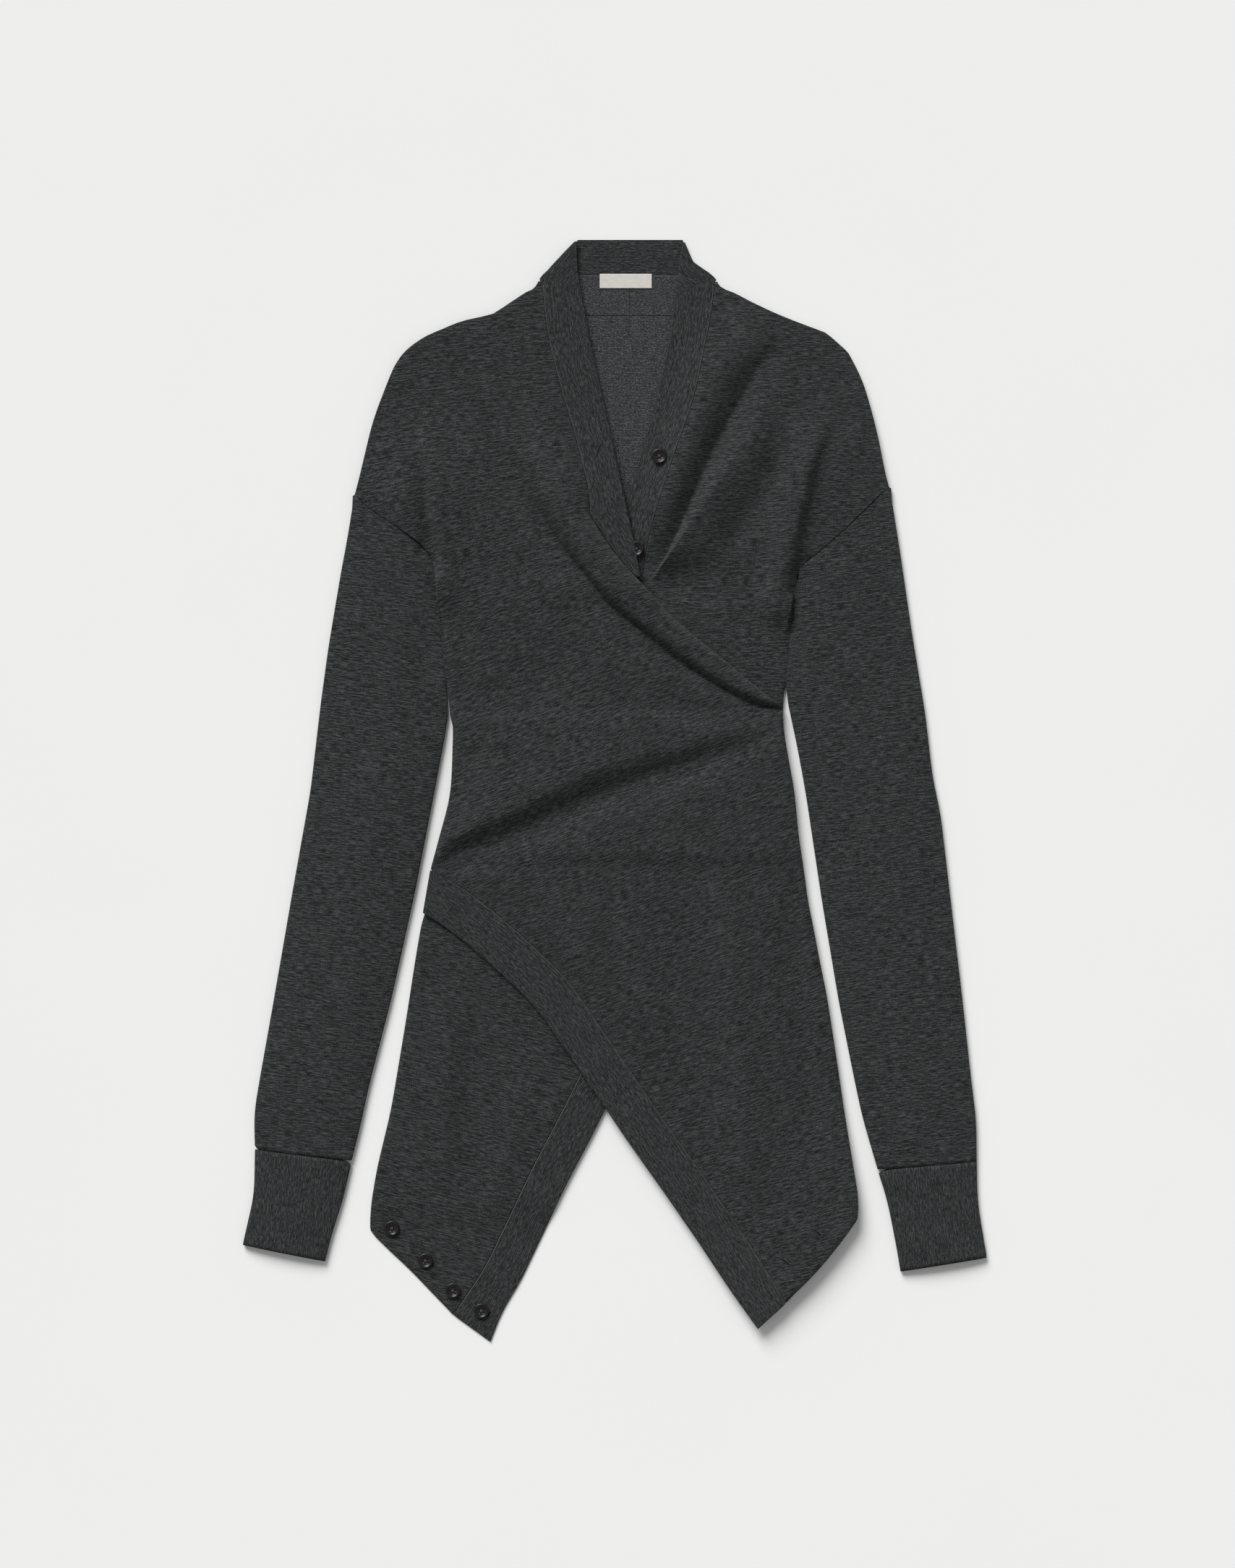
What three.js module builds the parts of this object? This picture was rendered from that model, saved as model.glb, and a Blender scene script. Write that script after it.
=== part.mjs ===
// Wrap cardigan in fine knit, laid flat on a table with its fronts crossed.
// Millimetres. +X is the viewer's right, +Y runs towards the collar, +Z is up off the table.
// Cloth pieces are walls of one thickness on three stacked layers: back, underlap, overlap.
import * as THREE from 'three';

// Cloth and stacking
const WALL = 1.5;
const SEAM_GAP = 0.4;
const BACK_UNDERSIDE = 0;
const UNDERLAP_UNDERSIDE = 1.9;
const OVERLAP_UNDERSIDE = 4.0;
const EDGE_SETBACK = 0.6;

// Bands
const OVERLAP_HEM_WIDTH = 33;
const UNDERLAP_HEM_WIDTH = 30;
const HEM_SEAM_START_Y = -62;

// Back of the neck
const YOKE_TOP_Y = 406.1;
const CENTRE_BACK_X = 12;
const YOKE_SEAM_Y = 374.2;
const NECK_POINT_Y = 401;
const LABEL = { width: 41, height: 11.5, thickness: 0.5, x: 8.7, y: 401.6 };

// Sleeve tubes, lying flat
const SLEEVE_HEIGHT = 5.6;
const SLEEVE_CROWN = 1.0;
const CUFF_HEIGHT = 5.4;

// Buttons
const BUTTON_RADIUS = 6;
const BUTTON_HEIGHT = 2.4;
const BUTTON_SIDES = 16;
const BUTTON_CLEARANCE = 0.3;

// Folds, as heights above the layer they are in
const NECK_BAND_LIFT = 3.7;
const ROLL_HEIGHT = 5;
const BODY_SWELL = 2.5;
const LEFT_RIDGE_HEIGHT = 2.5;
const BAND_CREST_HEIGHT = 4;
const PLEAT_HEIGHT = 6.5;
const RIGHT_RIDGE_HEIGHT = 3;
const SHOULDER_LIFT = 2.1;
const TAIL_LIFT = 5;

// Overlap front, one row for each section across it, from the shoulder down to the tail.
const OVERLAP_FRONT = [
  { y: 401, left: -62, right: -57.5 },
  { y: 395, left: -66.5, right: -56.5 },
  { y: 382, left: -85.5, right: -55.5 },
  { y: 374.5, left: -97.5, right: -54.7 },
  { y: 368.5, left: -129.5, right: -54.2 },
  { y: 361, left: -144, right: -53 },
  { y: 354.5, left: -157, right: -52 },
  { y: 342.5, left: -170, right: -49 },
  { y: 324, left: -178, right: -44.5 },
  { y: 292.5, left: -190, right: -35 },
  { y: 270, left: -195.5, right: -28.5 },
  { y: 252.5, left: -199.5, right: -24.5 },
  { y: 233, left: -204.5, right: -19.5 },
  { y: 224, left: -196, right: -19.5 },
  { y: 217, left: -187.5, right: -19.5 },
  { y: 212, left: -179, right: -16.5 },
  { y: 202.5, left: -161.5, right: -11 },
  { y: 195.5, left: -153, right: -6 },
  { y: 189, left: -146.5, right: -2 },
  { y: 176.5, left: -140, right: 8.5 },
  { y: 160.5, left: -139, right: 24 },
  { y: 145, left: -137.5, right: 37.5 },
  { y: 130, left: -136, right: 52 },
  { y: 113, left: -133.5, right: 74 },
  { y: 95, left: -132, right: 96 },
  { y: 82, left: -130, right: 110 },
  { y: 72, left: -129, right: 125 },
  { y: 66, left: -128.5, right: 132.5 },
  { y: 53.5, left: -127, right: 132 },
  { y: 37.5, left: -127.5, right: 134.5 },
  { y: 18, left: -128, right: 138 },
  { y: -0.5, left: -129, right: 141.5 },
  { y: -13, left: -131.5, right: 142.5 },
  { y: -25.5, left: -135, right: 143.5 },
  { y: -38, left: -138.5, right: 145 },
  { y: -51.5, left: -142, right: 147 },
  { y: -62, left: -145, right: 149 },
  { y: -72, left: -126, right: 150 },
  { y: -87, left: -104.5, right: 152 },
  { y: -105.5, left: -82.5, right: 156 },
  { y: -124.5, left: -61.5, right: 159.5 },
  { y: -145, left: -40, right: 163.5 },
  { y: -158.5, left: -29.5, right: 166.5 },
  { y: -210.5, left: 6, right: 174.5 },
  { y: -258, left: 38, right: 181.5 },
  { y: -298, left: 66.5, right: 188 },
  { y: -322, left: 83, right: 192 },
  { y: -337, left: 93.5, right: 190.5 },
  { y: -354, left: 104.5, right: 178.5 },
  { y: -378.5, left: 121, right: 158.5 },
  { y: -396.5, left: 131, right: 140 },
];

// Underlap front, the same way. Below the V it passes under the overlap to its own tail.
const UNDERLAP_FRONT = [
  { y: 401, left: 78.6, right: 82 },
  { y: 397, left: 78.5, right: 86 },
  { y: 391, left: 78.4, right: 96 },
  { y: 382.5, left: 76.9, right: 110.5 },
  { y: 375.5, left: 76.1, right: 127 },
  { y: 370, left: 75.2, right: 142 },
  { y: 361, left: 73.2, right: 166 },
  { y: 353, left: 71.7, right: 176 },
  { y: 345, left: 70, right: 184 },
  { y: 325, left: 66, right: 194.5 },
  { y: 310, left: 62.5, right: 199 },
  { y: 292.5, left: 57, right: 204 },
  { y: 268.5, left: 48.2, right: 209.5 },
  { y: 252.5, left: 42.8, right: 212 },
  { y: 239, left: 38.5, right: 216 },
  { y: 231.5, left: 36, right: 207 },
  { y: 221, left: 32.6, right: 197 },
  { y: 211.5, left: 29.9, right: 187.5 },
  { y: 203.5, left: 27.9, right: 178.5 },
  { y: 194, left: 25.5, right: 168.5 },
  { y: 186.5, left: 24, right: 159.5 },
  { y: 180, left: 23, right: 150 },
  { y: 168, left: 22, right: 142.5 },
  { y: 163, left: -8, right: 141.8 },
  { y: 156, left: -18, right: 141 },
  { y: 144.5, left: -28, right: 139.5 },
  { y: 130, left: -40, right: 138 },
  { y: 113, left: -60, right: 136 },
  { y: 95, left: -80, right: 134.5 },
  { y: 82, left: -96, right: 133.5 },
  { y: 71, left: -110, right: 133 },
  { y: 62, left: -123, right: 132 },
  { y: 40, left: -124, right: 133 },
  { y: 0, left: -125, right: 139 },
  { y: -25, left: -131, right: 141.5 },
  { y: -62, left: -141.5, right: 146.5 },
  { y: -72, left: -143, right: 128 },
  { y: -87, left: -146, right: 106.5 },
  { y: -98.5, left: -151, right: 92 },
  { y: -117.5, left: -154.5, right: 70 },
  { y: -145, left: -159, right: 42 },
  { y: -158.5, left: -161, right: 32 },
  { y: -190, left: -166, right: 2.5 },
  { y: -220, left: -171, right: -25.5 },
  { y: -252.5, left: -176.5, right: -41.5 },
  { y: -298, left: -187.5, right: -65.5 },
  { y: -330, left: -192.7, right: -80.5 },
  { y: -346, left: -192.7, right: -88 },
  { y: -355, left: -186, right: -92.5 },
  { y: -374.5, left: -164, right: -101.5 },
  { y: -392, left: -147.5, right: -113 },
  { y: -408, left: -132, right: -124 },
];

// Where the collar's outline leaves the back neck and reaches the fronts.
const NECK_BAND_LEFT = [
  { y: 432.5, outer: -31.5, inner: -29.5 },
  { y: 423, outer: -41, inner: -30 },
  { y: 415, outer: -48.5, inner: -29.5 },
  { y: 407.5, outer: -54.7, inner: -29 },
  { y: 402, outer: -57, inner: -28.5 },
  { y: 383, outer: -55, inner: -24.5 },
  { y: 355, outer: -51.5, inner: -19.5 },
  { y: 338.5, outer: -47.5, inner: -16 },
  { y: 319, outer: -42, inner: -11.5 },
  { y: 285, outer: -32, inner: -4 },
  { y: 250, outer: -23, inner: 3.5 },
  { y: 233, outer: -19, inner: 7.5 },
  { y: 217, outer: -19, inner: 10.5 },
  { y: 211.5, outer: -16, inner: 11.4 },
  { y: 202.5, outer: -10, inner: 14 },
  { y: 189, outer: -1.5, inner: 16.5 },
  { y: 176.5, outer: 9, inner: 18.5 },
  { y: 168, outer: 17.5, inner: 20.5 },
];

const NECK_BAND_RIGHT = [
  { y: 432, inner: 53.6, outer: 55.4 },
  { y: 423, inner: 52, outer: 59 },
  { y: 416.5, inner: 50.8, outer: 62 },
  { y: 409, inner: 50, outer: 73 },
  { y: 402, inner: 49, outer: 78 },
  { y: 383, inner: 46.7, outer: 76 },
  { y: 365.5, inner: 44.5, outer: 73 },
  { y: 345, inner: 41.5, outer: 69 },
  { y: 326, inner: 36.5, outer: 65 },
  { y: 305, inner: 32, outer: 60 },
  { y: 288, inner: 28, outer: 54 },
  { y: 262, inner: 19, outer: 45 },
  { y: 236, inner: 11.5, outer: 37 },
  { y: 207.5, inner: 3.5, outer: 28 },
  { y: 185, inner: -3, outer: 23 },
  { y: 169, inner: -7, outer: 21 },
];

const COLLAR_BACK = [
  { y: 434.3, left: -29, right: 53.5 },
  { y: 430, left: -32.5, right: 55 },
  { y: 423, left: -40, right: 58 },
  { y: 416, left: -46.5, right: 61 },
  { y: 406.5, left: -54, right: 75 },
];

// Sleeves and cuffs, one row for each ring, by the two ends of its flattened width.
// Bow moves the middle of a ring along the sleeve; sway moves its two halves opposite ways.
const SLEEVE_LEFT = [
  { outerX: -205.2, outerY: 231.6, innerX: -147.4, innerY: 187.6, bow: 0, sway: -1.7 },
  { outerX: -211, outerY: 196, innerX: -140.4, innerY: 166, bow: 0, sway: 0 },
  { outerX: -215.5, outerY: 172.5, innerX: -137.9, innerY: 139, bow: 0, sway: 0 },
  { outerX: -225.5, outerY: 113, innerX: -133.4, innerY: 93, bow: 0, sway: 0 },
  { outerX: -231.5, outerY: 69, innerX: -131.7, innerY: 53.5, bow: 0, sway: 0 },
  { outerX: -239.5, outerY: 0.5, innerX: -141.5, innerY: 1.5, bow: 0, sway: 0 },
  { outerX: -253.5, outerY: -78, innerX: -157, innerY: -78.5, bow: 0, sway: 0 },
  { outerX: -269.5, outerY: -170.5, innerX: -175.5, innerY: -162.5, bow: 0, sway: 0 },
  { outerX: -279.5, outerY: -226.5, innerX: -194, innerY: -234.5, bow: 0, sway: 0 },
  { outerX: -284, outerY: -254, innerX: -200, innerY: -263, bow: 0, sway: 0 },
  { outerX: -283.3, outerY: -282.5, innerX: -207, innerY: -291, bow: 0, sway: 0 },
];

const CUFF_LEFT = [
  { outerX: -283.3, outerY: -283, innerX: -207, innerY: -291.5, bow: 0, sway: 0 },
  { outerX: -284, outerY: -318, innerX: -214, innerY: -322.5, bow: 0, sway: 0 },
  { outerX: -289, outerY: -340, innerX: -222.5, innerY: -348, bow: 0, sway: 0 },
  { outerX: -293, outerY: -357.5, innerX: -228, innerY: -370.5, bow: 0, sway: 0 },
];

const SLEEVE_RIGHT = [
  { outerX: 216.6, outerY: 238.2, innerX: 150.4, innerY: 178.4, bow: -2, sway: 0 },
  { outerX: 224, outerY: 192.5, innerX: 143.4, innerY: 166, bow: 0, sway: 0 },
  { outerX: 234.5, outerY: 121, innerX: 138.4, innerY: 122, bow: 0, sway: 0 },
  { outerX: 244.5, outerY: 61, innerX: 134.8, innerY: 76.5, bow: 0, sway: 0 },
  { outerX: 250, outerY: 12.5, innerX: 144, innerY: 33.5, bow: 0, sway: 0 },
  { outerX: 256.5, outerY: -18, innerX: 150.5, innerY: -2.5, bow: 0, sway: 0 },
  { outerX: 264.5, outerY: -86, innerX: 163, innerY: -86, bow: 0, sway: 0 },
  { outerX: 274, outerY: -166.5, innerX: 176.5, innerY: -166.5, bow: 0, sway: 0 },
  { outerX: 280.5, outerY: -226.5, innerX: 188.5, innerY: -226.5, bow: 0, sway: 0 },
  { outerX: 284.5, outerY: -258, innerX: 195, innerY: -257, bow: 0, sway: 0 },
  { outerX: 285, outerY: -292, innerX: 207, innerY: -298, bow: 0, sway: 0 },
];

const CUFF_RIGHT = [
  { outerX: 285, outerY: -292.5, innerX: 207, innerY: -298.5, bow: 0, sway: 0 },
  { outerX: 285.5, outerY: -322, innerX: 214.5, innerY: -322, bow: 0, sway: 0 },
  { outerX: 290, outerY: -350, innerX: 222, innerY: -360, bow: 0, sway: 0 },
  { outerX: 293, outerY: -367.5, innerX: 225, innerY: -378.5, bow: 0, sway: 0 },
];

// Fold lines, each a path down the garment.
const LEFT_RIDGE = [
  { y: 300, x: -168 },
  { y: 278, x: -162 },
  { y: 248.5, x: -150 },
  { y: 199.5, x: -143.5 },
  { y: 176, x: -137 },
];

const ROLL_CREASE = [
  { y: 224.5, x: -62.5 },
  { y: 195.5, x: -43 },
  { y: 159, x: -13.5 },
  { y: 126, x: 23 },
  { y: 98, x: 59.5 },
  { y: 72, x: 103 },
  { y: 66, x: 131 },
];

const WAIST_TROUGH = [
  { x: -141.5, y: -54 },
  { x: -73.5, y: -22 },
  { x: -13.5, y: 5.5 },
  { x: 46, y: 25.5 },
  { x: 120, y: 50.5 },
];

const PLEAT_VALLEY = [
  { y: 349, x: 126.5 },
  { y: 329, x: 110.5 },
  { y: 292.5, x: 90 },
  { y: 252.5, x: 70 },
  { y: 196.5, x: 46 },
  { y: 162, x: 26 },
  { y: 113, x: 76 },
  { y: 66, x: 132 },
];

const PLEAT_RIDGE = [
  { y: 357, x: 146.5 },
  { y: 329, x: 130.5 },
  { y: 280, x: 113 },
  { y: 241.5, x: 84 },
  { y: 203.5, x: 56 },
  { y: 162.5, x: 32 },
  { y: 113, x: 83 },
  { y: 66, x: 134 },
];

const RIGHT_VALLEY = [
  { y: 298.5, x: 178.5 },
  { y: 261.5, x: 162.5 },
  { y: 224, x: 153 },
  { y: 205, x: 149 },
  { y: 181.5, x: 145.5 },
];

// Band across the bottom of the back, hidden under the fronts
const BACK_HEM_BAND = [
  { y: HEM_SEAM_START_Y - SEAM_GAP, left: -144.1, right: 145.6 },
  { y: -96.5, left: -149.4, right: 150.4 },
];

const BUTTONS = [
  { name: 'button_neck_1', x: 35, y: 263 },
  { name: 'button_neck_2', x: 17, y: 190.5 },
  { name: 'button_tail_1', x: -175.5, y: -344.5 },
  { name: 'button_tail_2', x: -149, y: -370 },
  { name: 'button_tail_3', x: -127.5, y: -393.5 },
  { name: 'button_tail_4', x: -105, y: -409.5 },
];

// Cloth colours
const CHARCOAL = { color: 0x35383b, roughness: 0.95, metalness: 0 };
const CHARCOAL_RIB = { color: 0x303336, roughness: 0.95, metalness: 0 };
const INSIDE_KNIT = { color: 0x3d4144, roughness: 0.95, metalness: 0 };
const LABEL_WHITE = { color: 0xdedbd4, roughness: 0.8, metalness: 0 };
const HORN = { color: 0x14110f, roughness: 0.35, metalness: 0 };

/** Straight-line value of one column of a table at a place along another. */
function lookUp(table, along, at, column) {
  const rising = table[0][along] < table[table.length - 1][along];
  const rows = rising ? table : [...table].reverse();
  if (at <= rows[0][along]) return rows[0][column];
  const above = rows.findIndex((row) => row[along] >= at);
  if (above < 0) return rows[rows.length - 1][column];
  const low = rows[above - 1];
  const high = rows[above];
  const share = (at - low[along]) / (high[along] - low[along]);
  return low[column] + share * (high[column] - low[column]);
}

/** Smooth step from 0 at one value to 1 at another, either way round. */
function ramp(value, from, to) {
  const t = Math.min(1, Math.max(0, (value - from) / (to - from)));
  return t * t * (3 - 2 * t);
}

/** Soft bump, 1 at the middle and almost 0 past its width. */
function bump(distance, width) {
  return Math.exp(-((distance / width) ** 2));
}

/** Heights of the rolled edge that crosses from the V to the waist. */
function rollLift(x, y) {
  const crease = lookUp(ROLL_CREASE, 'y', y, 'x');
  const edge = lookUp(OVERLAP_FRONT, 'y', y, 'right');
  const share = (x - crease) / Math.max(edge - crease, 4);
  if (y < 66 || y > 224 || share <= 0 || share >= 1) return 0;
  const fade = ramp(y, 224, 195) * (1 - 0.5 * ramp(y, 120, 66));
  return ROLL_HEIGHT * fade * Math.sin(Math.PI * share) ** 0.8;
}

/** Broad swell of the overlap's body, cut by the slanting waist trough. */
function bodySwell(x, y) {
  const left = lookUp(OVERLAP_FRONT, 'y', y, 'left');
  const crease = lookUp(ROLL_CREASE, 'y', y, 'x');
  const right = y > 66 ? crease : lookUp(OVERLAP_FRONT, 'y', y, 'right');
  const across = ramp(x, left, left + 40) * ramp(x, right, right - 40);
  const down = ramp(y, 330, 230) * ramp(y, -330, -230);
  const trough = lookUp(WAIST_TROUGH, 'x', x, 'y');
  const cut = 1 - bump(y - trough, 16);
  return BODY_SWELL * across * down * cut;
}

/** Underside of everything sewn to the overlap front. */
function overlapUnderside(x, y) {
  const neck = NECK_BAND_LIFT * ramp(y, 300, 225) * ramp(y, 140, 165) * ramp(x, -75, -25);
  const ridge = lookUp(LEFT_RIDGE, 'y', y, 'x');
  const left = LEFT_RIDGE_HEIGHT * bump(x - ridge - 8, 9) * ramp(y, 310, 270) * ramp(y, 60, 150);
  const tail = TAIL_LIFT * ramp(y, -260, -350) * ramp(x, 90, 150);
  return OVERLAP_UNDERSIDE + neck + left + rollLift(x, y) + bodySwell(x, y) + tail;
}

/** The neck band's crest and the pleat beside it, on the underlap front. */
function pleatLift(x, y) {
  if (y <= 163) return 0;
  const inner = lookUp(NECK_BAND_RIGHT, 'y', y, 'inner');
  const valley = lookUp(PLEAT_VALLEY, 'y', y, 'x');
  const ridge = lookUp(PLEAT_RIDGE, 'y', y, 'x');
  const opening = ramp(y, 175, 235) * ramp(y, 400, 340);
  const share = Math.min(1, Math.max(0, (x - inner) / (valley - inner)));
  const crest = BAND_CREST_HEIGHT * opening * Math.sin(Math.PI * share) ** 2;
  const rise = x < ridge ? ramp(x, valley, ridge) : bump(x - ridge, 32);
  return crest + PLEAT_HEIGHT * rise * ramp(y, 166, 200) * ramp(y, 362, 300);
}

/** Underside of everything sewn to the underlap front. */
function underlapUnderside(x, y) {
  const valley = lookUp(RIGHT_VALLEY, 'y', y, 'x');
  const body = RIGHT_RIDGE_HEIGHT * bump(x - valley + 12, 9) * ramp(y, 310, 270) * ramp(y, 140, 200);
  const shoulder = SHOULDER_LIFT * ramp(x, valley, valley + 20) * ramp(y, 165, 185);
  const settle = UNDERLAP_UNDERSIDE * ramp(y, -100, -180);
  return UNDERLAP_UNDERSIDE + pleatLift(x, y) + body + shoulder - settle;
}

function backUnderside() {
  return BACK_UNDERSIDE;
}

/** Moves the stops of a section apart where fold lines run into each other or off the cloth. */
function orderedStops(stops) {
  const last = stops.length - 1;
  const least = (stops[last] - stops[0]) * 0.06;
  const ordered = [...stops];
  for (let i = 1; i < last; i += 1) ordered[i] = Math.max(ordered[i], ordered[i - 1] + least);
  for (let i = last - 1; i > 0; i -= 1) ordered[i] = Math.min(ordered[i], ordered[i + 1] - least);
  return ordered;
}

/** Places along a section: each stretch between two stops is split into equal steps. */
function splitStops(stops, steps) {
  const places = [stops[0]];
  steps.forEach((count, i) => {
    for (let k = 1; k <= count; k += 1) {
      places.push(stops[i] + ((stops[i + 1] - stops[i]) * k) / count);
    }
  });
  return places;
}

/** Closed wall over a grid of places, each [x, y], standing on an underside. */
function wallGeometry(grid, underside, wall) {
  const rowCount = grid.length;
  const columnCount = grid[0].length;
  const positions = [];
  for (const lift of [0, wall]) {
    for (const row of grid) {
      for (const [x, y] of row) positions.push(x, y, underside(x, y) + lift);
    }
  }
  const top = rowCount * columnCount;
  const at = (row, column) => row * columnCount + column;
  const indices = [];
  const quad = (a, b, c, d) => indices.push(a, b, c, a, c, d);
  for (let row = 0; row < rowCount - 1; row += 1) {
    for (let column = 0; column < columnCount - 1; column += 1) {
      const [a, b] = [at(row, column), at(row, column + 1)];
      const [d, c] = [at(row + 1, column), at(row + 1, column + 1)];
      quad(a, b, c, d);
      quad(top + a, top + d, top + c, top + b);
    }
  }
  const rim = rimPath(rowCount, columnCount, at);
  rim.forEach((from, i) => {
    const to = rim[(i + 1) % rim.length];
    quad(from, top + from, top + to, to);
  });
  return indexedGeometry(positions, indices);
}

/** The grid's outside points in order, rows running down and columns to the right. */
function rimPath(rowCount, columnCount, at) {
  const path = [];
  for (let column = 0; column < columnCount - 1; column += 1) path.push(at(0, column));
  for (let row = 0; row < rowCount - 1; row += 1) path.push(at(row, columnCount - 1));
  for (let column = columnCount - 1; column > 0; column -= 1) path.push(at(rowCount - 1, column));
  for (let row = rowCount - 1; row > 0; row -= 1) path.push(at(row, 0));
  return path;
}

function indexedGeometry(positions, indices) {
  const geometry = new THREE.BufferGeometry();
  geometry.setAttribute('position', new THREE.Float32BufferAttribute(positions, 3));
  geometry.setIndex(indices);
  geometry.computeVertexNormals();
  return geometry;
}

/** Grid of level sections from a table, with fold lines as stops between its two edges. */
function sectionGrid(rows, leftOf, rightOf, folds, steps) {
  return rows.map((row) => {
    const inside = folds.map((fold) => lookUp(fold, 'y', row.y, 'x'));
    const stops = orderedStops([leftOf(row), ...inside, rightOf(row)]);
    return splitStops(stops, steps).map((x) => [x, row.y]);
  });
}

/** A neck band's rows, with every level of the front that it is sewn to, so the seam stays parallel. */
function neckBandGrid(band, front, seamColumn, seamShift) {
  const bottom = band[band.length - 1].y;
  const seamLevels = front.map((row) => row.y).filter((y) => y <= NECK_POINT_Y && y > bottom);
  const collarLevels = band.map((row) => row.y).filter((y) => y > NECK_POINT_Y || y === bottom);
  const levels = [...collarLevels, ...seamLevels].sort((a, b) => b - a);
  return levels.map((y) => {
    const inner = lookUp(band, 'y', y, 'inner');
    const outer = y > NECK_POINT_Y
      ? lookUp(band, 'y', y, 'outer')
      : lookUp(front, 'y', y, seamColumn) + seamShift;
    return splitStops([inner, outer].sort((a, b) => a - b), [2]).map((x) => [x, y]);
  });
}

/** Band sewn along a slanting hem: the seam's points and the same points moved out by its width. */
function hemBandGrid(seam, side, width, firstOuter, lastOuter) {
  const outward = seam.map((point, i) => {
    const before = seam[Math.max(i - 1, 0)];
    const after = seam[Math.min(i + 1, seam.length - 1)];
    const run = new THREE.Vector2(after.x - before.x, after.y - before.y).normalize();
    return new THREE.Vector2(run.y * side, -run.x * side);
  });
  return seam.map((point, i) => {
    const inner = point.clone().addScaledVector(outward[i], SEAM_GAP);
    let outer = point.clone().addScaledVector(outward[i], width);
    if (i === 0) outer = firstOuter;
    if (i === seam.length - 1) outer = lastOuter;
    const middle = inner.clone().lerp(outer, 0.5);
    const row = [inner, middle, outer].map((place) => [place.x, place.y]);
    return side > 0 ? row.reverse() : row;
  });
}

/** One ring of a flattened tube: level underside, rounded edges and a crowned top. */
function tubeRing(station, height, inset) {
  const outer = new THREE.Vector2(station.outerX, station.outerY);
  const inner = new THREE.Vector2(station.innerX, station.innerY);
  const width = outer.distanceTo(inner);
  const radius = height / 2;
  const along = inner.clone().sub(outer).normalize();
  const ring = [];
  const place = (run, rise) => {
    const share = run / width;
    const bow = station.bow * 4 * share * (1 - share);
    const sway = station.sway * Math.sin(2 * Math.PI * share);
    ring.push([outer.x + along.x * run, outer.y + along.y * run + bow + sway, rise]);
  };
  const arc = (centre, from, to) => {
    for (let k = 0; k <= 4; k += 1) {
      const angle = from + ((to - from) * k) / 4;
      place(centre + Math.cos(angle) * (radius - inset), radius + Math.sin(angle) * (radius - inset));
    }
  };
  arc(radius, Math.PI / 2, Math.PI * 1.5);
  for (const share of [0.25, 0.5, 0.75]) place(radius + (width - height) * share, inset);
  arc(width - radius, -Math.PI / 2, Math.PI / 2);
  for (const share of [0.75, 0.5, 0.25]) {
    const crown = SLEEVE_CROWN * Math.sin(Math.PI * share);
    place(radius + (width - height) * share, height - inset + crown);
  }
  return ring;
}

/** Open tube with one wall thickness through a list of rings. */
function tubeGeometry(stations, height) {
  const outside = stations.map((station) => tubeRing(station, height, 0));
  const inside = stations.map((station) => tubeRing(station, height, WALL));
  const around = outside[0].length;
  const positions = [...outside, ...inside].flat(2);
  const hollow = stations.length * around;
  const mirrored = stations[0].outerX > stations[0].innerX;
  const indices = [];
  const quad = (a, b, c, d) => {
    if (mirrored) indices.push(a, b, c, a, c, d);
    else indices.push(a, c, b, a, d, c);
  };
  const last = (stations.length - 1) * around;
  for (let k = 0; k < around; k += 1) {
    const next = (k + 1) % around;
    for (let row = 0; row < stations.length - 1; row += 1) {
      const a = row * around;
      quad(a + k, a + around + k, a + around + next, a + next);
      quad(hollow + a + k, hollow + a + next, hollow + a + around + next, hollow + a + around + k);
    }
    quad(k, next, hollow + next, hollow + k);
    quad(last + k, hollow + last + k, hollow + last + next, last + next);
  }
  return indexedGeometry(positions, indices);
}

/** Sewn-through button with a raised rim, turned about its own axis. */
function buttonGeometry() {
  const dish = BUTTON_HEIGHT * 0.62;
  const profile = [
    [0, 0],
    [BUTTON_RADIUS * 0.85, 0],
    [BUTTON_RADIUS, BUTTON_HEIGHT * 0.4],
    [BUTTON_RADIUS * 0.9, BUTTON_HEIGHT],
    [BUTTON_RADIUS * 0.75, BUTTON_HEIGHT],
    [BUTTON_RADIUS * 0.62, dish],
    [0, dish],
  ];
  const points = profile.map(([radius, rise]) => new THREE.Vector2(radius, rise));
  const geometry = new THREE.LatheGeometry(points, BUTTON_SIDES);
  geometry.rotateX(Math.PI / 2);
  return geometry;
}

const cardigan = new THREE.Group();

function addPiece(name, geometry, finish) {
  const mesh = new THREE.Mesh(geometry, new THREE.MeshStandardMaterial(finish));
  mesh.name = name;
  cardigan.add(mesh);
  return mesh;
}

function addBack() {
  const overlapLeft = (y) => lookUp(OVERLAP_FRONT, 'y', y, 'left') + EDGE_SETBACK;
  const underlapRight = (y) => lookUp(UNDERLAP_FRONT, 'y', y, 'right') - EDGE_SETBACK;
  const levels = OVERLAP_FRONT.map((row) => row.y).filter((y) => y < YOKE_SEAM_Y && y > HEM_SEAM_START_Y);
  const corners = [YOKE_SEAM_Y - SEAM_GAP, 239, 180, HEM_SEAM_START_Y];
  const rows = [...levels, ...corners].sort((a, b) => b - a).map((y) => ({ y }));
  const grid = sectionGrid(rows, (row) => overlapLeft(row.y), (row) => underlapRight(row.y), [], [5]);
  addPiece('back', wallGeometry(grid, backUnderside, WALL), INSIDE_KNIT);

  const band = BACK_HEM_BAND.map((row) => ({ ...row }));
  const bandGrid = sectionGrid(band, (row) => row.left, (row) => row.right, [], [8]);
  addPiece('back_hem_band', wallGeometry(bandGrid, backUnderside, WALL), CHARCOAL_RIB);
}

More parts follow.
